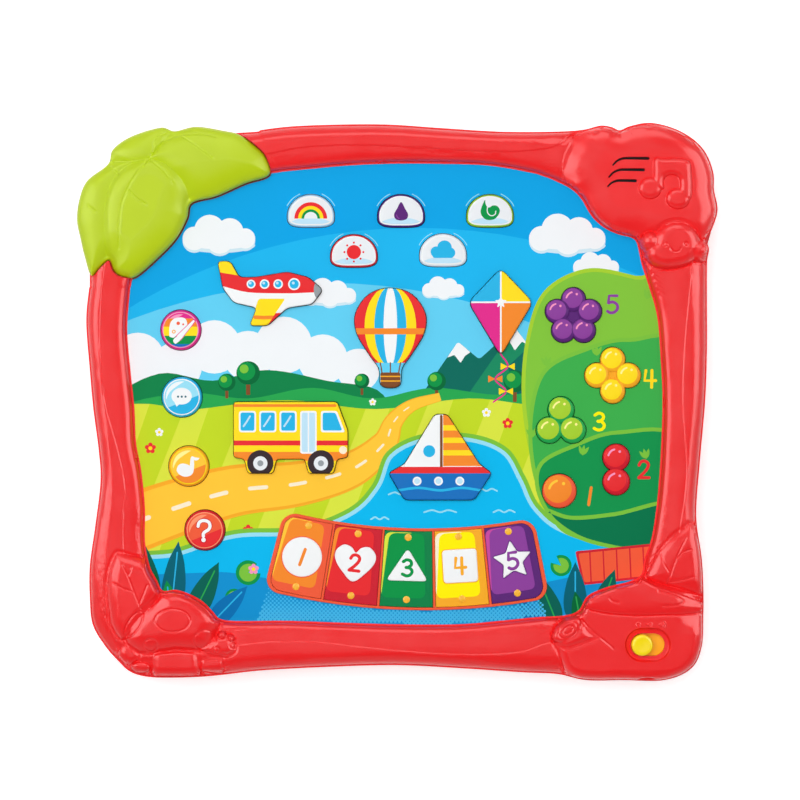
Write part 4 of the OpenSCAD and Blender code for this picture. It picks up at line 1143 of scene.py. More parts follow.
class BOARD_OT_build_frame(bpy.types.Operator):
    """Moulded red frame with its cloud, ladybird and stump corners, speaker slots and switch recess"""

    bl_idname = "board.build_frame"
    bl_label = "Front frame"

    def execute(self, context):
        points, faces = frame_shell()
        piece = solid("moulded_frame", points, faces, moulded("frame_red"), 32)
        cutters, slot_shade = [], []
        for path in SPEAKER_SLOTS:
            loop = anticlockwise(stroke(smooth_path(path), *SPEAKER_SLOT_ENDS))
            # A dark sheet a little below the top of each speaker slot paints the shade inside it
            wider = grown(loop, 0.3)
            slot_shade.append(tower((wider, FACE_Z + 3.4), (wider, PLATEAU_Z - SLOT_SHADE_DEPTH)))
            cutters.append(tower((loop, FACE_Z + 3.6), (loop, PLATEAU_Z - 0.5),
                                 (grown(loop, 0.5), PLATEAU_Z + 3)))
        x, y = SWITCH
        rim = oblong(x, y, SLOT_LENGTH + 2 * RECESS_RIM, SLOT_WIDTH + 2 * RECESS_RIM)
        floor = PLATEAU_Z - RECESS_DEPTH
        steps = ((-1.2, floor), (-0.6, floor + 0.3), (-0.2, PLATEAU_Z - 0.8), (0.1, PLATEAU_Z - 0.25),
                 (0.6, PLATEAU_Z + 0.2), (1.2, PLATEAU_Z + 2))
        cutters.append(tower(*((grown(rim, distance), z) for distance, z in steps)))
        slot = oblong(x, y, SLOT_LENGTH, SLOT_WIDTH)
        cutters.append(tower((slot, POCKET_Z - 4), (slot, floor + 0.5)))
        pocket = oblong(x, y, SLOT_LENGTH + 19, SLOT_WIDTH + 6)
        cutters.append(tower((pocket, FACE_Z + 1), (pocket, POCKET_Z)))
        seat = grown(outline_of(PALM_EDGE, 8), 0.4)
        cutters.append(tower((seat, SEAT_Z), (seat, PLATEAU_Z + 4)))
        cut_away(piece, cutters)
        dress(piece, "front_frame")
        # The dark sheet in the slots is painted shade; it rides with the speaker cone
        dark = finished("speaker_slot_shade", colour("foot"), 0.9, specular=0.1)
        attach(solid("speaker_slot_shade", *joined(slot_shade), dark), "speaker_cone")
        marks = [tower((loop, PLATEAU_Z - 1), (loop, PLATEAU_Z + 0.1), (grown(loop, -0.3), PLATEAU_Z + 0.3))
                 for loop in switch_marks()]
        attach(solid("switch_marks", *joined(marks), moulded("frame_red"), 32), "front_frame")
        return {"FINISHED"}


# Palm cover: edge and leaf outlines
PALM_EDGE = (
    (-73.7, 137), (-79.2, 143.3), (-88.7, 150), (-97.4, 152.2), (-113, 154.5), (-125, 152), (-133, 154),
    (-149.5, 149), (-159.7, 141.7), (-162.5, 133.4), (-174, 124.3), (-178.5, 114), (-179.9, 102),
    (-178, 92), (-175.6, 81.7), (-172, 71), (-167.5, 74.5), (-162, 79.4), (-159.5, 74), (-157, 71.4),
    (-152.7, 70), (-146.4, 70.7), (-133.7, 81.7), (-124.2, 92), (-118.3, 103), (-115.5, 111.7),
    (-101.4, 115.7), (-85.6, 122.7), (-72.2, 127.5))
PALM_FRONT = (
    (-139, 136.2), (-146, 134.5), (-153, 132), (-158.5, 127), (-162.3, 119), (-163.8, 109), (-164, 96),
    (-163.6, 85), (-162.6, 79), (-158, 66), (-146, 66), (-128, 84), (-112, 100), (-112, 111), (-116.2, 112),
    (-118.5, 120.5), (-123.3, 127.5), (-131, 133.8))
PALM_FOLDS = (
    ((-162.6, 78.8), (-163.6, 86), (-164, 96), (-163.5, 110), (-161.6, 119), (-157.5, 126.5), (-152, 131.5),
     (-146, 134.6), (-139, 136.4)),
    ((-139, 136.4), (-131, 133.8), (-123.3, 127.5), (-118.5, 120.5), (-115.8, 111.5)),
    ((-163, 133.6), (-157, 134.6), (-150, 134.6), (-139, 136.4)),
    ((-139, 136.4), (-134.2, 142.4), (-130.3, 147), (-125, 152)))
PALM_RIBS = (
    ((-138.9, 136.1), (-148.2, 123.6), (-153.7, 111.1), (-155.3, 98.6), (-155.6, 86)),
    ((-137.5, 138.5), (-131, 145.5), (-121.7, 149.4), (-109.2, 149.9), (-102, 148.6)),
    ((-150.6, 119), (-145.5, 114), (-140.5, 110.3)), ((-137.3, 134.6), (-131, 129.5), (-125, 122)),
    ((-160.5, 131.5), (-158, 129), (-156, 126.5)), ((-173.3, 110.3), (-170.5, 108), (-168.5, 106.4)),
    ((-121.7, 149.4), (-112, 143), (-103, 136.2)), ((-136.5, 140.5), (-135.5, 147), (-129.5, 151)))

# Palm cover: reach of its swell, rise of the front leaf, reach of a fold, and a rib's width and depth
PALM_REACH = 24
FRONT_RISE = 0.9
FOLD_REACH = 9
RIB_WIDTH = 0.6
RIB_DEPTH = 0.45


def palm_height(points):
    """Height of the palm cover's top."""
    depth = depth_in(points, outline_of(PALM_EDGE, 10))
    z = SEAT_Z + 1.0 + sizes("palm_rise") * swell(depth, PALM_REACH)
    front = depth_in(points, outline_of(PALM_FRONT))
    z += FRONT_RISE * ease(front / 4) * ease(depth / 4)
    fold = np.zeros(len(points))
    for path in PALM_FOLDS:
        gap = distance_to(points, smooth_path(path), FOLD_REACH + 3.0)
        fold = np.maximum(fold, np.clip(1 - gap / FOLD_REACH, 0, 1) ** 2)
    cut = np.zeros(len(points))
    for path in PALM_RIBS:
        cut = np.maximum(cut, np.exp(-(distance_to(points, smooth_path(path)) / RIB_WIDTH) ** 2))
    return np.minimum(z, TALLEST_Z - 0.2) - (sizes("palm_fold") * fold + RIB_DEPTH * cut) * ease(depth / 3)


class BOARD_OT_build_palm(bpy.types.Operator):
    """Moulded green palm crown over the top left corner"""

    bl_idname = "board.build_palm"
    bl_label = "Palm cover"

    def execute(self, context):
        edge = outline_of(PALM_EDGE, 10)
        top = Relief(edge)
        around = closed(edge)
        for gap in (0.6, 0.9, 1.3, 1.9, 2.8, 4.0):
            top.spots(shifted(around, gap))
        top.spots(honeycomb(edge.min(0), edge.max(0), 0.9))
        for path in PALM_FOLDS:
            top.path(evenly(smooth_path(path), 0.6), FOLD_ROWS)
        for path in PALM_RIBS:
            top.path(evenly(smooth_path(path), 0.5), LINE_ROWS)
        flat, faces, rim, hole = top.triangles()
        n = len(flat)
        faces += [[v + n for v in reversed(face)] for face in faces] + wall(rim, [v + n for v in rim])
        points = np.vstack([np.column_stack([flat, palm_height(flat)]), level(flat, SEAT_Z)])
        dress(solid("palm_crown", points, faces, moulded("palm_green"), 50), "palm_cover")
        return {"FINISHED"}


PLANE = rounded(((30, 2), (22, 9), (10, 12), (-8, 9), (-17, 9), (-22, 18), (-29, 18), (-26, 3), (-20, -5),
                 (-7, -8), (-11, -18), (-1, -18), (10, -8), (24, -6)), 2.4)
BALLOON = smooth_loop(((0, -28), (5.5, -26), (6.5, -17), (12, -9), (19, 3), (19.5, 14), (12, 24.5), (0, 28),
                       (-12, 24.5), (-19.5, 14), (-19, 3), (-12, -9), (-6.5, -17), (-5.5, -26)), 4)
KITE = rounded(((18, 6), (0, 25), (-18, 6), (0, -24)), 4)
BUS = rounded(((-26, -12), (-24, -20), (-10, -20), (-8, -12), (8, -12), (10, -20), (24, -20), (26, -12),
               (32, -11), (32, 4), (26, 20), (-32, 20), (-32, -11)), 1.8)
BOAT = rounded(((29, -8), (22, -3), (4, 25), (-3, 25), (-20, -3), (-29, -8), (-20, -23), (19, -23)), 2.4)
PICTURES = {"plane_pad": (PLANE, -72, 61), "balloon_pad": (BALLOON, -4, 36), "kite_pad": (KITE, 58, 50),
            "bus_pad": (BUS, -60, -20), "boat_pad": (BOAT, 24, -32)}
WEATHER = {"rainbow_button": ((-48.7, 104.5), "pale_blue"), "raindrop_button": ((2, 104.5), "deep_purple"),
           "wind_button": ((52, 104.5), "lime"), "sun_button": ((-24.5, 82), "red"),
           "cloud_button": ((25.6, 82.4), "white")}
# Place and inks of each round button: rim, ring, upper, lower (none where it is striped) and gloss
# The ring ink paints a highlight just inside the rim, the lower ink paints shade on the lower right, and the
# gloss ink paints a highlight on the upper left
MODES = {"paint_button": ((-121.8, 40.5), ("magenta", "pink", "magenta", None, "pink")),
         "speech_button": ((-121.2, 2.8), ("cyan", "cloud", "lake_pale", "cyan", "cloud")),
         "music_button": ((-117.3, -36), ("sand_dark", "yellow", "sand", "orange", "pale_yellow")),
         "question_button": ((-108.3, -72), ("deep_red", "salmon", "coral", "red", "salmon"))}
WEATHER_REACH = 13.2
WEATHER_HEIGHT = 18.4
MODE_RADIUS = 11.3
# Place, ring and radius of each counting pad's balls, and their dark, main and light ink
# The dark ink paints shade on each ball's lower right, and the light ink paints its highlights
COUNTS = ((91, -50, 0, 9.5, ("coral", "orange", "sand")), (123, -38, 6.8, 7.6, ("deep_red", "red", "pink")),
          (92, -12, 7.6, 7.4, ("hill", "lime", "pale_yellow")),
          (121, 15, 8.8, 7.0, ("sand_dark", "yellow", "pale_yellow")),
          (99, 48, 9.6, 6.8, ("deep_purple", "purple", "pink")))
BALL_STEPS = (0.98, 0.94, 0.88, 0.8, 0.65, 0.45, 0.22)
FAN_CENTRE = (15.3, 245.9)
FAN_MIDDLE = -91.65
KEY_TOP = 318.5
KEY_END = 361.5
KEY_MIDDLE = (KEY_TOP + KEY_END) / 2
KEY_PITCH = math.degrees(29.8 / KEY_MIDDLE)
KEY_BAR = 1.2
KEY_GAP = 0.2
SYMBOL_LIFT = 1.4
SYMBOL_RISE = 0.6
NUMERAL_DROP = (0, 0, 0.6, 0, 0)
STUD_RINGS = (KEY_TOP + 3.6, KEY_END - 4.4)
STUD_RISE = 0.6
# Main, bright and deep ink of each key, and its numeral's
# The bright ink paints light on a strip down one side of each key; the deep ink paints shade at its other
# edges and round its symbol
KEY_INKS = (("orange", "sand", "coral", "orange"), ("red", "orange", "deep_red", "red"),
            ("green", "meadow_pale", "hill_dark", "green"), ("lemon", "cream", "sand_dark", "sand_dark"),
            ("purple", "orchid", "deep_purple", "purple"))
BRIGHT_PANEL = ((-13, 20.6), (4, 20.6), (4, -14), (-14.6, -15.5))
MAIN_PANEL = ((-10.6, 20.2), (8.9, 20.2), (10.6, -16.2), (-14.4, -16.2))
KEY_CORNER = 7.0
SURROUND_WIDTH = 1.5
KEY_COUNT = 5


def weather_outline():
    """Button outline: round above, squarer below."""
    a = np.arange(72) * math.pi / 36
    c, s = np.cos(a), np.sin(a)
    square = np.where(s > 0, 1.0, 2 / 3.4)
    height = np.where(s > 0, 0.66, 0.34) * WEATHER_HEIGHT
    return np.column_stack([np.abs(c) ** square * np.sign(c) * WEATHER_REACH,
                            np.abs(s) ** square * np.sign(s) * height])


def foil_outline(count, ring, radius):
    """Outline of discs whose centres stand evenly on a ring, the first at the top."""
    a = np.arange(120) * math.pi / 60
    reach = np.zeros(len(a))
    for k in range(count):
        turn = a - math.pi / 2 - 2 * math.pi * k / count
        square = radius ** 2 - (ring * np.sin(turn)) ** 2
        far = ring * np.cos(turn) + np.sqrt(np.maximum(square, 0))
        reach = np.maximum(reach, np.where((square >= 0) & (far > 0), far, 0))
    return polar(reach, a)


def ball_places(count, ring):
    """Centres of the counting balls round a pad's place."""
    return polar(ring, np.radians(90 + 360 * np.arange(count) / count))


def fan_turn(width, r):
    """The angle, in degrees, that a width takes up at a radius."""
    return math.degrees(width / r)


def fan(start, end, near, far, first=0.0, last=0.0):
    """A fan segment round the piano's centre; first and last round the corners at its two ends."""
    def corner(a, r, inward, down, w):
        u = np.linspace(0, math.pi / 2, 8 if w > 0 else 0, endpoint=False)
        b = np.radians(a + inward * fan_turn(w, r) * (1 - np.cos(u)))
        return polar(r - down * w * (1 - np.sin(u)), b) + FAN_CENTRE

    def between(r, a, b):
        return arc(*FAN_CENTRE, r, a, b, 12)

    return np.vstack([corner(start, far, 1, 1, first),
                      between(far, start + fan_turn(first, far), end - fan_turn(last, far)),
                      corner(end, far, -1, 1, last)[::-1], corner(end, near, -1, -1, last),
                      between(near, end - fan_turn(last, near), start + fan_turn(first, near)),
                      corner(start, near, 1, -1, first)[::-1]])


def key_angle(k):
    """Heading of a key's middle line."""
    return FAN_MIDDLE + (k - (KEY_COUNT - 1) / 2) * KEY_PITCH


def key_outline(k, gap):
    """A key's outline, drawn in by a gap."""
    half = KEY_PITCH / 2 - fan_turn(KEY_BAR / 2 + gap, KEY_MIDDLE)
    return fan(key_angle(k) - half, key_angle(k) + half, KEY_TOP + gap, KEY_END - gap,
               KEY_CORNER - gap if k == 0 else 0, KEY_CORNER - gap if k == KEY_COUNT - 1 else 0)


def surround_outline():
    """Outline of the piano's surround."""
    half = KEY_PITCH * KEY_COUNT / 2 + fan_turn(SURROUND_WIDTH, KEY_MIDDLE)
    corner = KEY_CORNER + SURROUND_WIDTH
    return fan(FAN_MIDDLE - half, FAN_MIDDLE + half, KEY_TOP - SURROUND_WIDTH, KEY_END + SURROUND_WIDTH,
               corner, corner)


def pad_windows():
    """Openings of the printed face."""
    loops = [anticlockwise(loop) + (x, y) for loop, x, y in PICTURES.values()]
    loops += [weather_outline() + place for place, rim in WEATHER.values()]
    loops += [disc(*place, MODE_RADIUS, 48) for place, inks in MODES.values()]
    loops += [foil_outline(k + 1, ring, r) + (x, y) for k, (x, y, ring, r, inks) in enumerate(COUNTS)]
    loops = [grown(anticlockwise(loop), WINDOW_GAP) for loop in loops]
    return loops + [anticlockwise(key_outline(k, 0)) for k in range(KEY_COUNT)]


# Numerals as lines in a box one unit high, standing on their base
NUMERALS = {
    1: (((0.1, 1), (-0.05, 0)),),
    2: (smooth_path(((-0.28, 0.76), (-0.16, 0.95), (0.06, 1), (0.26, 0.86), (0.24, 0.62), (0.02, 0.32),
                     (-0.3, 0.02))), ((-0.3, 0.02), (0.32, 0.02))),
    3: (smooth_path(((-0.26, 0.88), (-0.04, 1), (0.2, 0.92), (0.24, 0.7), (0.06, 0.54), (-0.08, 0.52))),
        smooth_path(((-0.08, 0.52), (0.16, 0.48), (0.3, 0.28), (0.18, 0.06), (-0.06, 0), (-0.3, 0.1)))),
    4: (((-0.24, 1), (-0.32, 0.4), (0.34, 0.4)), ((0.12, 1), (0.1, 0))),
    5: (((0.26, 1), (-0.2, 1), (-0.25, 0.58)),
        smooth_path(((-0.25, 0.58), (0.02, 0.63), (0.26, 0.48), (0.28, 0.22), (0.08, 0.02), (-0.14, 0),
                     (-0.3, 0.08)))),
}


def numeral(sheet, figure, x, y, height, width, ink, turn=0):
    """Prints a numeral with its middle at a place."""
    for path in NUMERALS[figure]:
        local = (np.asarray(path, float) - (0, 0.5)) * height
        sheet.line(turned(local, turn) + (x, y), width, ink)


def puffs(sheet, x, y, size, ink, below):
    """Prints a cloud of round puffs with a shaded foot."""
    spots = ((-15, 0, 7), (-6, 5, 9), (6, 4, 8), (15, 0, 6), (0, -1, 8))
    for dx, dy, r in spots:
        sheet.area(disc(x + dx * size, y + dy * size - 1.5 * size, r * size), below)
    sheet.area(oval(x, y - 4 * size, 21 * size, 4.6 * size), below)
    for dx, dy, r in spots:
        sheet.area(disc(x + dx * size, y + dy * size, r * size), ink)
    sheet.area(oval(x, y - 2.4 * size, 20 * size, 4.0 * size), ink)


def leaf(x, y, size, width, turn):
    """A pointed leaf that grows from a place."""
    half = smooth_path(((0, 0), (width * 0.8, size * 0.35), (width * 0.6, size * 0.72), (0, size)), 5)
    loop = np.vstack([half[:-1], (half * (-1, 1))[::-1][:-1]])
    return turned(loop, turn) + (x, y)


def face_sky(sheet):
    """Prints the sky, its clouds and the far hills."""
    sheet.area(disc(10, -212, 310, 120), "sky_mid")
    sheet.area(disc(-40, -238, 305, 120), "sky_low")
    for x, y, size in ((-100, 92, 0.95), (96, 92, 1.0), (26, 63, 0.55), (-38, 60, 0.7), (112, 76, 0.6)):
        puffs(sheet, x, y, size, "cloud", "cloud_shade")
    for x, y, r in ((-146, 24, 15), (-124, 20, 14), (-103, 31, 15), (-84, 26, 14), (-64, 32, 16),
                    (-42, 24, 14), (-22, 18, 12)):
        sheet.area(disc(x, y, r), "cloud")
    sheet.area(rounded(((8, -4), (34, 34), (46, 24), (66, 42), (92, 8), (96, -4)), 2), "peak_dark")
    # The lighter peak ink on the face left of the summit is painted light; the darker rest is painted shade
    sheet.area(rounded(((34, -4), (66, 42), (74, 31), (62, 20), (68, -4)), 1), "peak", ("peak_dark",))
    sheet.area(rounded(((66, 42), (58, 33.5), (63, 34), (66, 29), (70, 34), (73.5, 32)), 0.6), "white",
               ("peak", "peak_dark"))
    sheet.area(rounded(((34, 34), (28, 25), (32, 26.5), (35.5, 22), (38, 26), (41, 28)), 0.6), "white",
               ("peak_dark",))
    sheet.area(smooth_loop(((-160, 0), (-134, 16), (-104, 12), (-74, 18), (-40, 12), (-8, 4), (-8, -30),
                            (-160, -30))), "hill_dark")
    sheet.area(smooth_loop(((-160, -6), (-120, 5), (-84, 2), (-48, 8), (-14, 2), (20, 8), (60, 4), (110, 10),
                            (160, 6), (160, -40), (-160, -40))), "hill")


def tree(sheet, x, y, size):
    """Prints a round tree on a trunk."""
    sheet.area(box(x - 1.2 * size, y, x + 1.2 * size, y + 9 * size, 0.4), "brown")
    # The canopy is darker at its lower right with a lighter spot at its upper left: painted shade and a
    # painted highlight
    sheet.area(disc(x, y + 13 * size, 7 * size), "deep_green")
    sheet.area(disc(x - 1.2 * size, y + 14 * size, 5.4 * size), "green")
    sheet.area(disc(x - 2.4 * size, y + 15.4 * size, 2.6 * size), "hill_lime")


def flower(sheet, x, y, size, petal, heart):
    """Prints a five-petalled flower."""
    for k in range(5):
        a = math.radians(90 + 72 * k)
        sheet.area(disc(x + size * math.cos(a), y + size * math.sin(a), 0.62 * size, 12), petal)
    sheet.area(disc(x, y, 0.55 * size, 12), heart)


def face_land(sheet):
    """Prints the meadow, the winding road and what stands beside it."""
    for x, y, size in ((-96, 2, 0.7), (-84, 4, 0.95), (22, 2, 0.75), (66, 0, 0.9), (-20, 4, 0.6)):
        tree(sheet, x, y, size)
    sheet.area(smooth_loop(((-160, -10), (-112, -4), (-62, 1), (-12, -4), (40, 2), (84, -2), (160, 0),
                            (160, -110), (-160, -110))), "meadow")
    for k in range(9):
        x = -150 + 34 * k
        sheet.area([(x, 6), (x + 13, 6), (x - 27, -110), (x - 46, -110)], "meadow_pale", ("meadow",))
    road = np.array(((-164, -74, 30), (-126, -60, 28), (-92, -50, 25), (-56, -46, 22), (-26, -38, 18),
                     (-8, -24, 13), (-2, -11, 9), (8, -2, 6), (24, 3, 4)), float)
    curve = smooth_path(road, 8)
    side = leftward(heading(curve[:, :2])) * curve[:, 2:] / 2
    for part, ink in ((1.16, "sand_dark"), (1.0, "sand")):
        sheet.area(np.vstack([curve[:, :2] - side * part, (curve[:, :2] + side * part)[::-1]]), ink)
    for k in range(3, len(curve) - 10, 5):
        sheet.line(curve[k:k + 3, :2], curve[k, 2] * 0.09, "cream")
    for x, y, size in ((-139, -26, 2.0), (-134, -17, 1.5), (-84, -72, 1.9), (-14, 0, 1.3), (50, -6, 1.6),
                       (62, -12, 1.9)):
        flower(sheet, x, y, size, "red" if size > 1.7 else "white", "yellow")


# Lily pads: place, radius and the heading of their notch
LILY_PADS = ((-84, -96, 7, 20), (-92, -110, 5, 200), (92, -92, 6, 140))
# Printed dots: corners of their field, the height where they vanish, and how far below it they are full
DOTS_LOW = (-84, -128)
DOTS_HIGH = (96, -92)
DOTS_END = -93
DOTS_FADE = 26


def face_water(sheet):
    """Prints the lake with its shore, ripples and lily pads."""
    shore = smooth_loop(((-160, -92), (-124, -82), (-92, -72), (-56, -70), (-28, -60), (-14, -46),
                         (-6, -28), (14, -18), (42, -18), (62, -26), (72, -42), (80, -58), (96, -70),
                         (128, -76), (160, -78), (160, -150), (-160, -150)), 8)
    sheet.area(shore, "hill_lime")
    sheet.area(grown(anticlockwise(shore), -2.4), "lake_pale")
    sheet.area(grown(anticlockwise(shore), -4.6), "lake")
    sheet.area(smooth_loop(((-160, -104), (-110, -96), (-80, -98), (-30, -108), (40, -112), (90, -100),
                            (160, -92), (160, -150), (-160, -150))), "lake_deep")
    for x, y, w in ((2, -52, 7), (50, -50, 6), (24, -62, 9), (-34, -72, 7), (60, -62, 6), (-10, -66, 5)):
        sheet.line(smooth_path(((x - w, y), (x - w / 2, y + 1.2), (x, y), (x + w / 2, y + 1.2),
                                (x + w, y))), 0.9, "lake_pale", ("lake",))
    for x, y, r, turn in LILY_PADS:
        sheet.area(band(x, y, 0.05, r, turn + 24, turn + 336, 22), "green")
        sheet.area(band(x, y, 0.05, r * 0.72, turn + 30, turn + 330, 22), "hill_lime")
    flower(sheet, -81, -94, 1.9, "pink", "yellow")


def face_slope(sheet):
    """Prints the terraced slope at the right with its steps of green, and the pier below it."""
    foot = ((160, -90), (128, -84), (104, -78), (88, -68))
    tiers = ((((76, -36), (70, 0), (72, 34), (82, 62), (106, 75), (134, 71), (160, 62)), "terrace_a"),
             (((76, -40), (74, -8), (82, 18), (104, 30), (130, 36), (160, 26)), "terrace_b"),
             (((78, -50), (80, -34), (98, -24), (124, -16), (160, -22)), "terrace_c"),
             (((84, -60), (98, -64), (122, -62), (160, -56)), "terrace_d"))
    # Each step keeps a lighter band along its upper edge: a painted highlight
    for edge, ink in tiers:
        loop = smooth_loop(edge + foot, 8)
        sheet.area(loop, "hill_lime" if ink != "terrace_a" else "lime")
        sheet.area(grown(anticlockwise(loop), -2.2), ink)
    for x, y, turn in ((76, -20, 10), (140, 58, -20), (112, 26, 0), (140, -32, 15), (104, -30, -10),
                       (84, 20, 5)):
        for lean in (-28, 0, 28):
            sheet.area(leaf(x, y, 6, 1.2, lean + turn), "hill_lime")
    for figure, x, y, ink in ((1, 108, -53, "orange"), (2, 138.5, -38, "red"), (3, 113.5, -11, "lemon"),
                              (4, 142, 13, "yellow"), (5, 121, 55, "purple")):
        numeral(sheet, figure, x, y, 9.5, 1.7, ink)
    pier = np.array(((100, -84), (160, -78), (160, -97), (104, -103)), float)
    sheet.area(rounded(pier, 1.5), "deep_red")
    sheet.area(rounded(grown(anticlockwise(pier), -1.4), 1.2), "coral")
    for k in range(6):
        x = 108 + 7.5 * k
        sheet.line(((x, -80), (x + 1, -103)), 0.8, "deep_red", ("coral",))


def face_reeds(sheet):
    """Prints the dark plants in the lower corners."""
    for x, y, size, width, turn, ink in (
            (-136, -122, 52, 9, 14, "reed"), (-128, -124, 46, 8, -6, "reed_teal"),
            (-118, -126, 40, 8, -26, "reed"), (-146, -118, 44, 8, 34, "reed_blue"),
            (-108, -128, 34, 7, -44, "reed_blue"), (-142, -124, 30, 6, -12, "deep_green"),
            (-126, -128, 28, 6, 8, "green"), (92, -130, 36, 7, 22, "reed"),
            (100, -130, 40, 8, 0, "reed_teal"), (110, -128, 36, 7, -20, "reed"),
            (84, -130, 26, 6, 40, "reed_blue"), (104, -130, 24, 5, 10, "deep_green")):
        sheet.area(leaf(x, y, size, width, turn), ink)
        spine = turned(((0, size * 0.12), (0, size * 0.5), (0, size * 0.86)), turn) + (x, y)
        sheet.line(spine, 0.8, "hill" if ink in ("reed", "deep_green") else "cyan", (ink,))


def kite_tail(sheet):
    """Prints the kite's tail with its bows."""
    path = smooth_path(((58, 27), (62, 20), (55, 13), (61, 6), (54, 0)), 8)
    sheet.line(path, 0.9, "magenta")
    for k, ink in ((8, "yellow"), (16, "orange"), (24, "yellow")):
        x, y = path[k]
        sheet.area(rounded(((x - 4, y - 2), (x, y), (x - 4, y + 2)), 0.5), ink)
        sheet.area(rounded(((x + 4, y - 2), (x, y), (x + 4, y + 2)), 0.5), ink)


def face_outline():
    """The printed face, up to where the frame's lip covers it."""
    stations = [row[2:] for name, steps, low, rows in FRAME_SPANS for row in rows]
    return grown(outline_of(stations), LIP_COVER)


class BOARD_OT_build_face(bpy.types.Operator):
    """Printed face with a window for every pad, and the dots on its water"""

    bl_idname = "board.build_face"
    bl_label = "Printed face"

    def execute(self, context):
        sheet = Print(face_outline(), "sky")
        for draw in (face_sky, face_land, face_water, face_slope, face_reeds, kite_tail):
            draw(sheet)
        # Pale arcs just outside each weather button's upper left and upper right: painted highlights of the
        # film's raised edge
        for place, rim in WEATHER.values():
            around = grown(weather_outline(), 1.6) + place
            for first, last in ((5, 14), (23, 32)):
                sheet.line(around[first:last], 0.45, "lake_pale")
        # A dark line along the palm cover's edge: painted shade of the gap under the palm
        sheet.line(closed(smooth_loop(PALM_EDGE)), 1.5, "edge")
        windows = pad_windows()
        for loop in windows:
            sheet.area(loop, HOLE)
        dress(printed("printed_face", sheet, FACE_Z, PANEL_Z), "face_panel")
        self.water_dots(windows)
        return {"FINISHED"}

    def water_dots(self, windows):
        """Pale dots that shrink upwards over the deep water."""
        pitch, radius = sizes("dot_pitch"), sizes("dot_radius")
        rows, columns = np.meshgrid(np.arange(DOTS_LOW[1], DOTS_HIGH[1], pitch / 2),
                                    np.arange(DOTS_LOW[0], DOTS_HIGH[0], pitch), indexing="ij")
        shift = (np.arange(rows.shape[0]) % 2)[:, None] * pitch / 2
        spots = np.column_stack([(columns + shift).ravel(), rows.ravel()])
        size = np.clip((DOTS_END - spots[:, 1]) / DOTS_FADE, 0, 1)
        clear = (size > 0.25) & (depth_in(spots, face_outline()) > LIP_COVER + 0.5)
        clear &= depth_in(spots, anticlockwise(surround_outline())) < -0.6
        for x, y, r, turn in LILY_PADS:
            clear &= np.hypot(spots[:, 0] - x, spots[:, 1] - y) > r + 1
        clear &= np.abs(spots[:, 0] - 3) < 84 - 0.35 * (spots[:, 1] - DOTS_LOW[1])
        spots, size = spots[clear], size[clear]
        cyan = linear([c / 255 for c in INKS["cyan"]])
        film = finished("water_dot_ink", cyan, 0.45, coat=0.15, mottle=0.04)
        dots = scatter_tree("water_dots", cone_shape(10, 0.96))
        attach(scattered("water_dots", dots, level(spots, FACE_Z), radius, 0.08, film, size), "face_panel")


class BOARD_OT_build_surround(bpy.types.Operator):
    """Red orange rim round the piano keys"""

    bl_idname = "board.build_surround"
    bl_label = "Piano surround"

    def execute(self, context):
        loop = surround_outline()
        sheet = Print(loop, "coral")
        roll = rolled(sheet, loop, 0.5)
        for k in range(KEY_COUNT):
            sheet.area(key_outline(k, 0), HOLE)
        piece = printed("piano_rim", sheet, top_of("piano_surround"), FACE_Z, roll, "coral")
        dress(piece, "piano_surround")
        return {"FINISHED"}


def weather_icons(sheet, node):
    """Prints a weather button's picture."""
    if node == "rainbow_button":
        for r, ink in ((9.2, "red"), (7.1, "yellow"), (5.2, "green"), (3.75, "ice")):
            sheet.area(band(0, -1.5, 0.05, r, 0, 180), ink)
    elif node == "raindrop_button":
        drop = smooth_loop(((0, 7.8), (2.2, 4.2), (3.9, 0.9), (3.1, -1.7), (0, -2.6), (-3.1, -1.7),
                            (-3.9, 0.9), (-2.2, 4.2)))
        sheet.area(drop, "deep_purple")
        # A lighter arc in the drop's lower left: a painted highlight
        sheet.line(arc(0, 0.8, 2.5, 185, 245, 5), 0.5, "purple")
    elif node == "wind_button":
        sheet.area(smooth_loop(((-2.8, 9), (-4.1, 6.6), (-5.1, 3.9), (-5.3, 1.9), (-4.5, -0.1), (-2.6, -1.9),
                                (0.1, -2.3), (2.6, -1.7), (4.5, 0.3), (5.5, 2.7), (4.9, 4.6), (3.4, 5.8),
                                (1.4, 5.8), (-0.4, 4.8), (-1.6, 5), (-2.6, 7)), 4), "green")
        sheet.line(smooth_path(((-1.5, 4.9), (-1.6, 2.7), (-0.8, 0.9), (1, 0.1), (2.8, 0.9), (3.2, 2.7))),
                   0.55, "ice")
    elif node == "sun_button":
        sheet.area(disc(0, 2.2, 4), "red")
        for x, y in ball_places(8, 5.3):
            sheet.area(disc(x, y + 2.2, 0.6, 12), "red")
    else:
        for x, y, r in ((-3.9, 1.9, 3.1), (0.8, 4.25, 4.1), (4, 1.4, 2.9)):
            sheet.area(disc(x, y, r), "cyan")
        sheet.area(box(-6, -1.5, 6, 2.2, 1.5), "cyan")


class BOARD_OT_build_weather(bpy.types.Operator):
    """Five domed white buttons with weather pictures"""

    bl_idname = "board.build_weather"
    bl_label = "Weather buttons"

    def execute(self, context):
        for node, (place, rim) in WEATHER.items():
            loop = weather_outline()
            sheet = Print(loop, rim, *place)
            sheet.area(grown(loop, -0.9), "white")
            sheet.area(grown(loop, -1.7), "ice")
            sheet.area(oval(0, -8.5, 15, 7.6), "pale_blue", ("ice",))
            weather_icons(sheet, node)
            cap(node, sheet, rolled(sheet, loop, sizes("weather_roll")), rim)
        return {"FINISHED"}


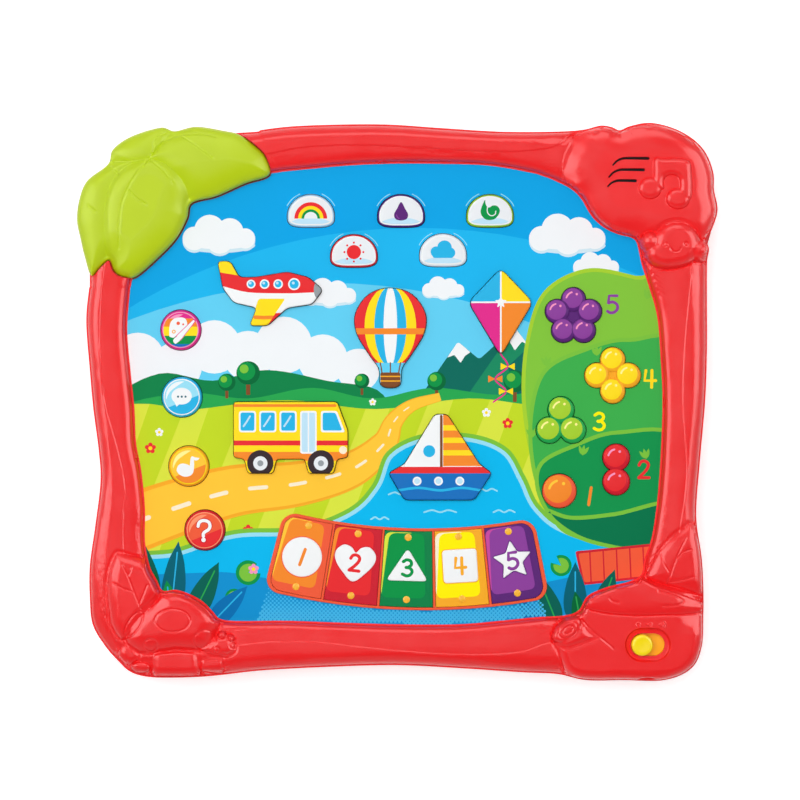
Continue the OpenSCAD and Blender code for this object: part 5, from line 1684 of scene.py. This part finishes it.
def mode_icons(sheet, node):
    """Prints a round button's picture."""
    if node == "paint_button":
        sheet.area(smooth_loop(((-6.3, -3.3), (-6.3, 0.9), (-5.5, 4.3), (-3.4, 6.4), (0, 7), (2.5, 6.4),
                                (3.7, 3.9), (3, 2), (-2.4, -3.2), (-4, -4.4), (-5.9, -3.9)), 4), "white")
        for x, y, r, ink in ((-1.3, 3.7, 1, "coral"), (1.5, 3.1, 0.6, "coral"), (-3.8, -1, 1.1, "sand_dark"),
                             (-3.8, -1, 0.55, "white")):
            sheet.area(disc(x, y, r, 14), ink)
        sheet.line(((7.6, 5.2), (-1, -4.4)), 1.9, "magenta", None, 3.8)
        sheet.line(((7.3, 4.9), (-0.8, -4.2)), 1.2, "white", None, 3)
        sheet.area(smooth_loop(((-4.2, -6), (-2.3, -4), (-0.4, -5.7), (-1.6, -7), (-3, -7.8)), 4), "white")
    elif node == "speech_button":
        sheet.area(oval(0, 0.5, 5.7, 4.7), "white")
        sheet.area([(-4.2, -2.4), (-1.2, -4), (-2.9, -5.4)], "white")
        for x in (-2, 0.1, 2.2):
            sheet.area(disc(x, 0.2, 0.6, 14), "reed_teal")
    elif node == "music_button":
        sheet.area(smooth_loop(((-6.7, -2), (-5.6, 0.6), (-3.3, 1.5), (-0.8, 1), (0.6, 0.4), (0.9, 2.5),
                                (1.2, 4.6), (2, 5.6), (3.3, 5), (5.9, 4.6), (5.4, 3.6), (4.2, 3.1),
                                (3.1, 3.3), (3.1, 1), (2.9, -2), (2.2, -4.2), (0.4, -5.6), (-2.4, -5.9),
                                (-5, -4.8), (-6.3, -3.4)), 4), "white")
    else:
        hook = smooth_path(((-3.6, 2.2), (-3.2, 4), (-1.9, 5.2), (0.2, 5.4), (2.3, 4.5), (3, 2.4), (2.2, 0.4),
                            (0.2, -0.9), (-0.7, -2), (-0.7, -3.4)))
        for ink, width in (("deep_red", 2.6), ("white", 1.8)):
            sheet.line(hook, width, ink)
            sheet.area(disc(-0.6, -5.4, width * 0.7, 16), ink)


class BOARD_OT_build_modes(bpy.types.Operator):
    """Four round buttons at the left: paint, speech, music and question"""

    bl_idname = "board.build_modes"
    bl_label = "Mode buttons"

    def execute(self, context):
        for node, (place, (rim, ring, upper, lower, gloss)) in MODES.items():
            loop = disc(0, 0, MODE_RADIUS, 64)
            sheet = Print(loop, rim, *place)
            core = MODE_RADIUS - 1.7
            # The ring is a painted highlight inside the rim
            sheet.discs(0, 0, (MODE_RADIUS - 1.1, 48, ring), (core, 48, upper))
            if lower:
                # Painted shade on the lower right
                sheet.area(arc(0, 0, core, 218, 366, 32), lower)
            else:
                for y0, y1, ink in ((1.8, 6.4, "orange"), (-3.3, 1.8, "yellow"), (-7.9, -3.3, "green"),
                                    (-core, -7.9, "blue")):
                    a, b = (math.degrees(math.asin(v / core)) for v in (y0, y1))
                    stripe = [arc(0, 0, core, a, b, 8), arc(0, 0, core, 180 - b, 180 - a, 8)]
                    sheet.area(np.vstack(stripe), ink)
            # Painted highlight on the upper left
            shine = smooth_path(((-8.7, -1.4), (-6.6, 2.8), (-2.8, 6), (1.5, 8.7)))
            sheet.area(np.vstack([arc(0, 0, core - 0.8, 80, 190, 16), shine]), gloss, (upper,))
            mode_icons(sheet, node)
            cap(node, sheet, rolled(sheet, loop, sizes("mode_roll")), rim)
        return {"FINISHED"}


def plane_picture(sheet):
    """Prints the aeroplane."""
    sheet.area(smooth_loop(((31, 0), (22, -8), (6, -11), (-22, -9), (-30, 4), (-12, 0.6), (10, 0))),
               "white", ("red",))
    sheet.area(rounded(((-6, -3), (-11, -18), (-1, -18), (9, -3)), 1.4), "yellow")
    sheet.line(((-8, -13.4), (-3, -13.6), (2, -13.4)), 2.0, "orange", ("yellow",))
    sheet.area([(-14, 9.5), (-22, 20), (-31, 20), (-29, 12)], "yellow", ("red",))
    sheet.area(oval(29, 2, 4, 6), "grey", ("red", "white"))
    for x, r in ((14, 3.4), (5, 2.7), (-2.6, 2.7), (-10.2, 2.5)):
        sheet.discs(x, 5.2, (r, 20, "white"), (r - 0.8, 20, "cyan"))
        # A pale spot in each window: a painted highlight
        sheet.area(disc(x - 0.5, 5.8, 0.8, 12), "pale_blue")


def balloon_picture(sheet):
    """Prints the hot-air balloon."""
    for rx, ink in ((14.5, "yellow"), (9.0, "cyan"), (3.8, "white")):
        sheet.area(oval(0, 6.5, rx, 22.6, 0, 40), ink, ("red", "yellow", "cyan"))
    sheet.area(bar(-20, 2.0, 20, 5.4), "orange", ("red", "yellow", "cyan", "white"))
    sheet.area(bar(-9, -30, 9, -14), "sky_low")
    for x in (-4.6, 0, 4.6):
        sheet.line(((x, -20), (x * 1.1, -17), (x * 1.25, -14)), 0.7, "brown")
    sheet.area(box(-5.6, -28, 5.6, -19.4, 1), "brown")
    for y in (-21.6, -24.2):
        sheet.line(((-5.4, y), (0, y), (5.4, y)), 0.7, "sand_dark", ("brown",))


def kite_picture(sheet):
    """Prints the four-coloured kite."""
    for corner, ink in (((18.5, 6), "yellow"), ((-18.5, 6), "cyan")):
        sheet.area([(0, 6), corner, (0, 26)], ink, ("magenta",))
    sheet.area([(0, 6), (19, 6), (0, -25)], "orange", ("magenta",))
    sheet.line(((0, 24), (0, 0), (0, -23)), 0.9, "white")
    sheet.line(((-17, 6), (0, 6), (17, 6)), 0.9, "white")
    sheet.area(star(5, 3.6, 1.6) + (0, 6), "white")


def bus_picture(sheet):
    """Prints the bus."""
    sheet.area(bar(-34, -13, 34, -8), "orange", ("yellow",))
    sheet.area(bar(-34, -4.4, 34, -1.6), "red", ("yellow",))
    for x in (-29, -17.6, -6.2):
        sheet.area(box(x, 3, x + 9.6, 15, 1.6), "white")
        sheet.area(box(x + 0.9, 3.9, x + 8.7, 14.1, 1.2), "cyan")
        # A pale streak across each window: a painted reflection
        sheet.line(((x + 2.6, 6.4), (x + 4.4, 9), (x + 6.2, 12)), 1.0, "pale_blue", ("cyan",))
    sheet.area(box(5.4, -9, 14.6, 15, 1.4), "white")
    sheet.area(box(6.3, -8, 13.7, 14, 1), "pale_blue")
    sheet.line(((10, -8), (10, 3), (10, 14)), 0.8, "white")
    sheet.area(rounded(((17, 3), (30.6, 3), (26, 15), (17, 15)), 1.4), "white")
    sheet.area(rounded(((18, 4), (29, 4), (25.2, 14), (18, 14)), 1.2), "cyan")
    sheet.area(disc(29.4, -7, 2.2, 16), "cream")
    sheet.line(((-32, 18), (0, 18), (25, 18)), 1.6, "orange", ("yellow",))
    for x in (-17, 17):
        sheet.discs(x, -14.4, (7.4, 30, "dark"), (4.0, 24, "ice"), (1.7, 16, "grey"))


def boat_picture(sheet):
    """Prints the sailing boat."""
    sheet.area([(1.6, -4), (1.6, 27), (34, -4)], "orange", ("white",))
    for y in (2, 9, 16):
        sheet.area(bar(1.6, y, 30, y + 3), "yellow", ("orange",))
    sheet.area(disc(-6.2, 4.4, 3.4, 20), "cyan")
    sheet.line(((0.6, 24), (0.6, 8), (0.6, -6)), 1.5, "brown")
    sheet.area([(-32, -4.4), (32, -4.4), (20, -26), (-22, -26)], "blue")
    sheet.area([(-32, -4.4), (32, -4.4), (31, -8), (-31, -8)], "red")
    sheet.line(smooth_path(((-24, -17.6), (-12, -16.2), (0, -17.6), (12, -16.2), (23, -17.6))), 1.4, "cyan",
               ("blue",))
    for x in (-13, -1, 11):
        sheet.discs(x, -12.4, (2.5, 18, "white"), (1.6, 18, "pale_blue"))


class BOARD_OT_build_pictures(bpy.types.Operator):
    """Five flat picture pads: aeroplane, balloon, kite, bus and boat"""

    bl_idname = "board.build_pictures"
    bl_label = "Picture pads"

    def execute(self, context):
        looks = {"plane_pad": ("red", plane_picture), "balloon_pad": ("red", balloon_picture),
                 "kite_pad": ("magenta", kite_picture), "bus_pad": ("yellow", bus_picture),
                 "boat_pad": ("white", boat_picture)}
        for node, (loop, x, y) in PICTURES.items():
            ink, draw = looks[node]
            loop = anticlockwise(loop)
            sheet = Print(loop, ink, x, y)
            draw(sheet)
            # The sides take the dark edge ink: partly a dark contour, partly painted shade
            cap(node, sheet, rolled(sheet, loop, sizes("picture_roll")), "edge")
        return {"FINISHED"}


class BOARD_OT_build_counts(bpy.types.Operator):
    """Five counting pads with one to five round balls"""

    bl_idname = "board.build_counts"
    bl_label = "Counting pads"

    def execute(self, context):
        for k, (x, y, ring, radius, (dark, body, light)) in enumerate(COUNTS):
            node = "count_pad_%d" % (k + 1)
            loop = foil_outline(k + 1, ring, radius)
            sheet = Print(loop, dark, x, y)
            balls = ball_places(k + 1, ring)
            # A dark disc under a main disc set up and to the left leaves painted shade on the lower right;
            # the light arc and spot are painted highlights
            for bx, by in balls:
                sheet.area(disc(bx, by, radius, 40), dark)
                sheet.area(disc(bx - 0.1 * radius, by + 0.12 * radius, radius * 0.82, 36), body)
                sheet.line(arc(bx, by, radius * 0.62, 105, 165, 8), radius * 0.14, light, (body,))
                sheet.area(disc(bx + 0.24 * radius, by + 0.44 * radius, radius * 0.1, 12), light)
            for bx, by in balls:
                sheet.discs(bx, by, *((radius * f, 32, KEEP) for f in BALL_STEPS))

            def swelling(flat, places=balls + (x, y), radius=radius):
                gaps = np.min([np.hypot(*(flat - place).T) for place in places], axis=0)
                return sizes("ball_rise") * (swell(radius - gaps, radius * 0.75) - 1)

            cap(node, sheet, swelling, dark)
        return {"FINISHED"}


def key_symbols():
    """White shapes on the keys, upright round the origin."""
    heart = smooth_loop(((0, -10.6), (6.4, -5.6), (11, 0.6), (11.2, 5.8), (7.2, 9.6), (2.6, 8.6), (0, 5.8),
                         (-2.6, 8.6), (-7.2, 9.6), (-11.2, 5.8), (-11, 0.6), (-6.4, -5.6)), 5)
    return (disc(0, 0, 11.2, 48), heart, rounded(((11.8, -8), (0, 10.5), (-11.8, -8)), 3),
            rounded(((9.7, -9.3), (9.7, 9.3), (-9.7, 9.3), (-9.7, -9.3)), 2.2), star(5, 11.4, 5.6, 1.2))


class BOARD_OT_build_keys(bpy.types.Operator):
    """Five piano keys with raised white shapes, numerals and studs"""

    bl_idname = "board.build_keys"
    bl_label = "Piano keys"

    def execute(self, context):
        studs = scatter_tree("key_studs", dome_shape)
        stud_finish = moulded("rivet")
        for k, symbol in enumerate(key_symbols()):
            node = "piano_key_%d" % (k + 1)
            main, bright, deep, figure = KEY_INKS[k]
            angle = key_angle(k)
            direction = np.array([math.cos(math.radians(angle)), math.sin(math.radians(angle))])
            middle = np.array(FAN_CENTRE) + direction * KEY_MIDDLE
            loop = anticlockwise(key_outline(k, KEY_GAP))
            sheet = Print(loop, deep)
            # A bright strip on one side and the deep ink left at the other edges: painted light and shade
            for panel, ink in ((BRIGHT_PANEL, bright), (MAIN_PANEL, main)):
                sheet.area(turned(rounded(panel, 4), angle + 90) + middle, ink)
            middle -= direction * (SYMBOL_LIFT if k else 0)
            shape = anticlockwise(turned(symbol, angle + 90)) + middle
            # A deep ring round the raised symbol: painted shade
            sheet.area(grown(shape, 0.5), deep)
            sheet.area(shape, "white")
            numeral(sheet, k + 1, middle[0], middle[1] - NUMERAL_DROP[k], 9.0, 1.8, figure, angle + 90)
            roll = rolled(sheet, loop, sizes("key_roll"))
            for depth in (0.15, 0.35, 0.6):
                sheet.area(grown(shape, -depth), KEEP)

            def lift(flat, roll=roll, shape=shape):
                return roll(flat) - SYMBOL_RISE + SYMBOL_RISE * swell(depth_in(flat, shape), SYMBOL_RISE)

            cap(node, sheet, lift, deep)
            ends = [np.array(FAN_CENTRE) + direction * r for r in STUD_RINGS]
            points = [(p[0], p[1], top_of(node) - SYMBOL_RISE) for p in ends]
            piece = scattered(node + "_studs", studs, points, sizes("rivet_radius"), STUD_RISE, stud_finish)
            attach(piece, node)
        return {"FINISHED"}


class BOARD_OT_build_switch(bpy.types.Operator):
    """Yellow knob of the power switch and the amber plate below it"""

    bl_idname = "board.build_switch"
    bl_label = "Power switch"

    def execute(self, context):
        low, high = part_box("switch_knob")
        x, y = (low.x + high.x) / 2 / MM, (low.y + high.y) / 2 / MM
        r, z0, z1 = (high.x - low.x) / 2 / MM, low.z / MM, high.z / MM
        roll = 1.6
        profile = [(r - 0.4, z0), (r, z0 + 0.5), (r, z1 - roll)]
        profile += [(r - roll + roll * math.cos(a), z1 - roll + roll * math.sin(a))
                    for a in np.linspace(0.2, 1.5, 6)]
        profile += [(r - 2.2, z1), (r - 3.4, z1 - 0.35), (r - 5.0, z1 - 0.5)]
        knob = tower(*((disc(x, y, reach, 48), z) for reach, z in profile))
        dress(solid("switch_knob_cap", *knob, moulded("knob"), 45), "switch_knob")
        coat_node("switch_slide", moulded("slide"))
        return {"FINISHED"}


# Rubber feet: places, radius and rolled edge, in millimetres
FOOT_SPOTS = ((150, 132), (-150, 128), (-148, -130), (148, -126), (0, 140), (0, -132))
FOOT_RADIUS = 7.0
FOOT_EDGE = 0.5


class BOARD_OT_build_back(bpy.types.Operator):
    """Rear cover, battery door, screws and rubber feet"""

    bl_idname = "board.build_back"
    bl_label = "Back"

    def execute(self, context):
        rough = finished("moulded_rear", colour("rear_red"), 0.5, mottle=0.05, grain=0.06, grain_scale=1400.0)
        for node in ("rear_cover", "battery_door"):
            coat_node(node, rough)
        steel = finished("screw_steel", (0.55, 0.56, 0.58, 1), 0.32, mottle=0.1, grain=0.01, metal=1.0)
        for node in ("case_screws", "door_screw"):
            coat_node(node, steel)
        low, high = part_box("rubber_feet")
        rubber = finished("foot_rubber", colour("foot"), 0.75, mottle=0.12, grain=0.05, grain_scale=1500.0)
        tall = (high.z - low.z) / MM
        discs = scatter_tree("rubber_feet", cone_shape(48, 1.0))
        feet = scattered("rubber_feet_pads", discs, level(FOOT_SPOTS, low.z / MM), FOOT_RADIUS, tall, rubber)
        edge = feet.modifiers.new("edge", "BEVEL")
        edge.width = FOOT_EDGE * MM
        edge.segments = 3
        dress(feet, "rubber_feet")
        return {"FINISHED"}


class BOARD_OT_build_inside(bpy.types.Operator):
    """Finishes of the parts inside the case"""

    bl_idname = "board.build_inside"
    bl_label = "Inside parts"

    def execute(self, context):
        steel = bpy.data.materials["screw_steel"]
        for node in ("speaker_basket", "board_screws", "battery_contacts", "switch_body"):
            coat_node(node, steel)
        board = {"coat": 0.3, "mottle": 0.15, "scale": 160.0}
        paper = {"mottle": 0.2, "grain": 0.08, "grain_scale": 900.0}
        for name, rgb, roughness, more, nodes in (
                ("circuit_board", (0.06, 0.36, 0.2), 0.4, board, ("main_board", "switch_board")),
                ("moulded_black", (0.09, 0.09, 0.1), 0.5, {"mottle": 0.1}, ("sound_chip", "switch_lever")),
                ("cone_paper", (0.12, 0.12, 0.13), 0.8, paper, ("speaker_cone",)),
                ("ferrite_grey", (0.34, 0.35, 0.37), 0.6, {"mottle": 0.15}, ("speaker_magnet",)),
                ("dome_silicone", (0.62, 0.63, 0.64), 0.55, {}, ("contact_domes",)),
                ("cell_wrap", (0.16, 0.36, 0.62), 0.35, {"coat": 0.2, "mottle": 0.05}, ("battery_cells",)),
                ("wire_red", (0.78, 0.1, 0.1), 0.45, {}, ("speaker_lead", "switch_lead"))):
            finish = finished(name, linear(rgb), roughness, **more)
            for node in nodes:
                coat_node(node, finish)
        return {"FINISHED"}


# Camera in millimetres on its sensor, and its view in metres at the face; floor in millimetres
SENSOR = 36
LENS = 135
VIEW_WIDTH = 0.450
VIEW_MIDDLE = (0.00141, 0.00113)
FLOOR_SIDE = 6000


class BOARD_OT_set_stage(bpy.types.Operator):
    """Pale floor, soft studio lamps and a camera straight above the board"""

    bl_idname = "board.set_stage"
    bl_label = "Stage"

    def execute(self, context):
        self.set_floor()
        self.set_world(context.scene)
        light = context.scene.board_light
        fill = self.add_lamp("overhead_lamp", (-0.2, 0.25, 1.8), (1.6, 1.6), light.overhead)
        fill.visible_glossy = False
        for name, place, size, watts in (("left_lamp", (-1.1, 0.35, 0.85), (1.1, 1.2), light.side),
                                         ("right_lamp", (1.1, 0.35, 0.85), (1.1, 1.2), light.side),
                                         ("back_lamp", (0, 1.2, 0.9), (1.2, 0.8), light.back)):
            self.add_lamp(name, place, size, watts).visible_diffuse = False
        self.set_camera(context.scene)
        context.scene.view_settings.view_transform = "Standard"
        return {"FINISHED"}

    def set_floor(self):
        """A wide pale plane that keeps the board's shadow."""
        material, tree, shader = new_material("pale_floor")
        where = add_node(tree, "ShaderNodeTexCoord").outputs["Object"]
        noise = add_node(tree, "ShaderNodeTexNoise", {"Vector": where, "Scale": 3.0}).outputs["Fac"]
        tint = add_node(tree, "ShaderNodeMapRange", {"Value": noise, "To Min": 0.93, "To Max": 0.95})
        feed(tree, shader, {
            "Base Color": tint.outputs["Result"], "Roughness": 0.9, "Emission Color": (1, 1, 1, 1),
            "Emission Strength": worked_out(tree, "MULTIPLY", seen_directly(tree), 0.45)})
        side = FLOOR_SIDE / 2
        mesh = new_mesh("floor", [(-side, -side, 0), (side, -side, 0), (side, side, 0), (-side, side, 0)],
                        [(0, 1, 2, 3)])
        mesh.materials.append(material)
        placed("floor", mesh)

    def set_world(self, scene):
        """Surroundings that are pale at the horizon and darker overhead."""
        world = bpy.data.worlds.new("studio")
        world.use_nodes = True
        tree, light = world.node_tree, scene.board_light
        where = add_node(tree, "ShaderNodeTexCoord").outputs["Generated"]
        height = add_node(tree, "ShaderNodeSeparateXYZ", {"Vector": where}).outputs["Z"]
        fade = add_node(tree, "ShaderNodeMapRange", {
            "Value": height, "From Min": 0.15, "From Max": 0.9, "To Min": light.ambient,
            "To Max": light.zenith}, interpolation_type="SMOOTHSTEP")
        feed(tree, tree.nodes["Background"], {"Color": (1, 1, 1, 1), "Strength": fade.outputs["Result"]})
        scene.world = world

    def add_lamp(self, name, place, size, watts):
        """A soft rectangular lamp that looks at the board's middle."""
        lamp = bpy.data.lights.new(name, "AREA")
        lamp.shape = "RECTANGLE"
        lamp.size, lamp.size_y = size
        lamp.energy = watts
        holder = placed(name, lamp)
        holder.location = place
        holder.rotation_euler = (-Vector(place)).to_track_quat("-Z", "Y").to_euler()
        return holder

    def set_camera(self, scene):
        """A long lens straight above that takes in a set width at the face."""
        camera = bpy.data.cameras.new("camera")
        camera.sensor_width = SENSOR
        camera.lens = LENS
        holder = placed("camera", camera)
        holder.location = (*VIEW_MIDDLE, FACE_Z * MM + VIEW_WIDTH * LENS / SENSOR)
        scene.camera = holder


def seen_directly(tree):
    """A socket that is 1 for camera, glossy and transmission rays."""
    path = add_node(tree, "ShaderNodeLightPath").outputs
    first = worked_out(tree, "MAXIMUM", path["Is Camera Ray"], path["Is Glossy Ray"])
    return worked_out(tree, "MAXIMUM", first, path["Is Transmission Ray"])


class BOARD_PT_tools(bpy.types.Panel):
    """Buttons that build the board's pieces"""

    bl_idname = "BOARD_PT_tools"
    bl_label = "Activity board"
    bl_space_type = "VIEW_3D"
    bl_region_type = "UI"
    bl_category = "Board"

    def draw(self, context):
        for operator in OPERATORS:
            self.layout.operator(operator.bl_idname)
        for group in (context.scene.board_sizes, context.scene.board_colours, context.scene.board_light):
            for key in group.bl_rna.properties.keys():
                if key not in ("rna_type", "name"):
                    self.layout.prop(group, key)


OPERATORS = (BOARD_OT_set_stage, BOARD_OT_build_frame, BOARD_OT_build_palm, BOARD_OT_build_face,
             BOARD_OT_build_surround, BOARD_OT_build_weather, BOARD_OT_build_modes, BOARD_OT_build_pictures,
             BOARD_OT_build_counts, BOARD_OT_build_keys, BOARD_OT_build_switch, BOARD_OT_build_back,
             BOARD_OT_build_inside)
GROUPS = {"board_sizes": BoardSizes, "board_colours": BoardColours, "board_inks": BoardInks,
          "board_light": BoardLight}


def register():
    """Registers the property groups, operators and panel."""
    for key, group in GROUPS.items():
        bpy.utils.register_class(group)
        setattr(bpy.types.Scene, key, bpy.props.PointerProperty(type=group))
    for item in OPERATORS + (BOARD_PT_tools,):
        bpy.utils.register_class(item)


def unregister():
    """Removes what register added."""
    for item in OPERATORS + (BOARD_PT_tools,):
        bpy.utils.unregister_class(item)
    for key, group in GROUPS.items():
        delattr(bpy.types.Scene, key)
        bpy.utils.unregister_class(group)


def main():
    register()
    for operator in OPERATORS:
        family, action = operator.bl_idname.split(".")
        getattr(getattr(bpy.ops, family), action)()
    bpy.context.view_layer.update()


if __name__ == "__main__":
    main()
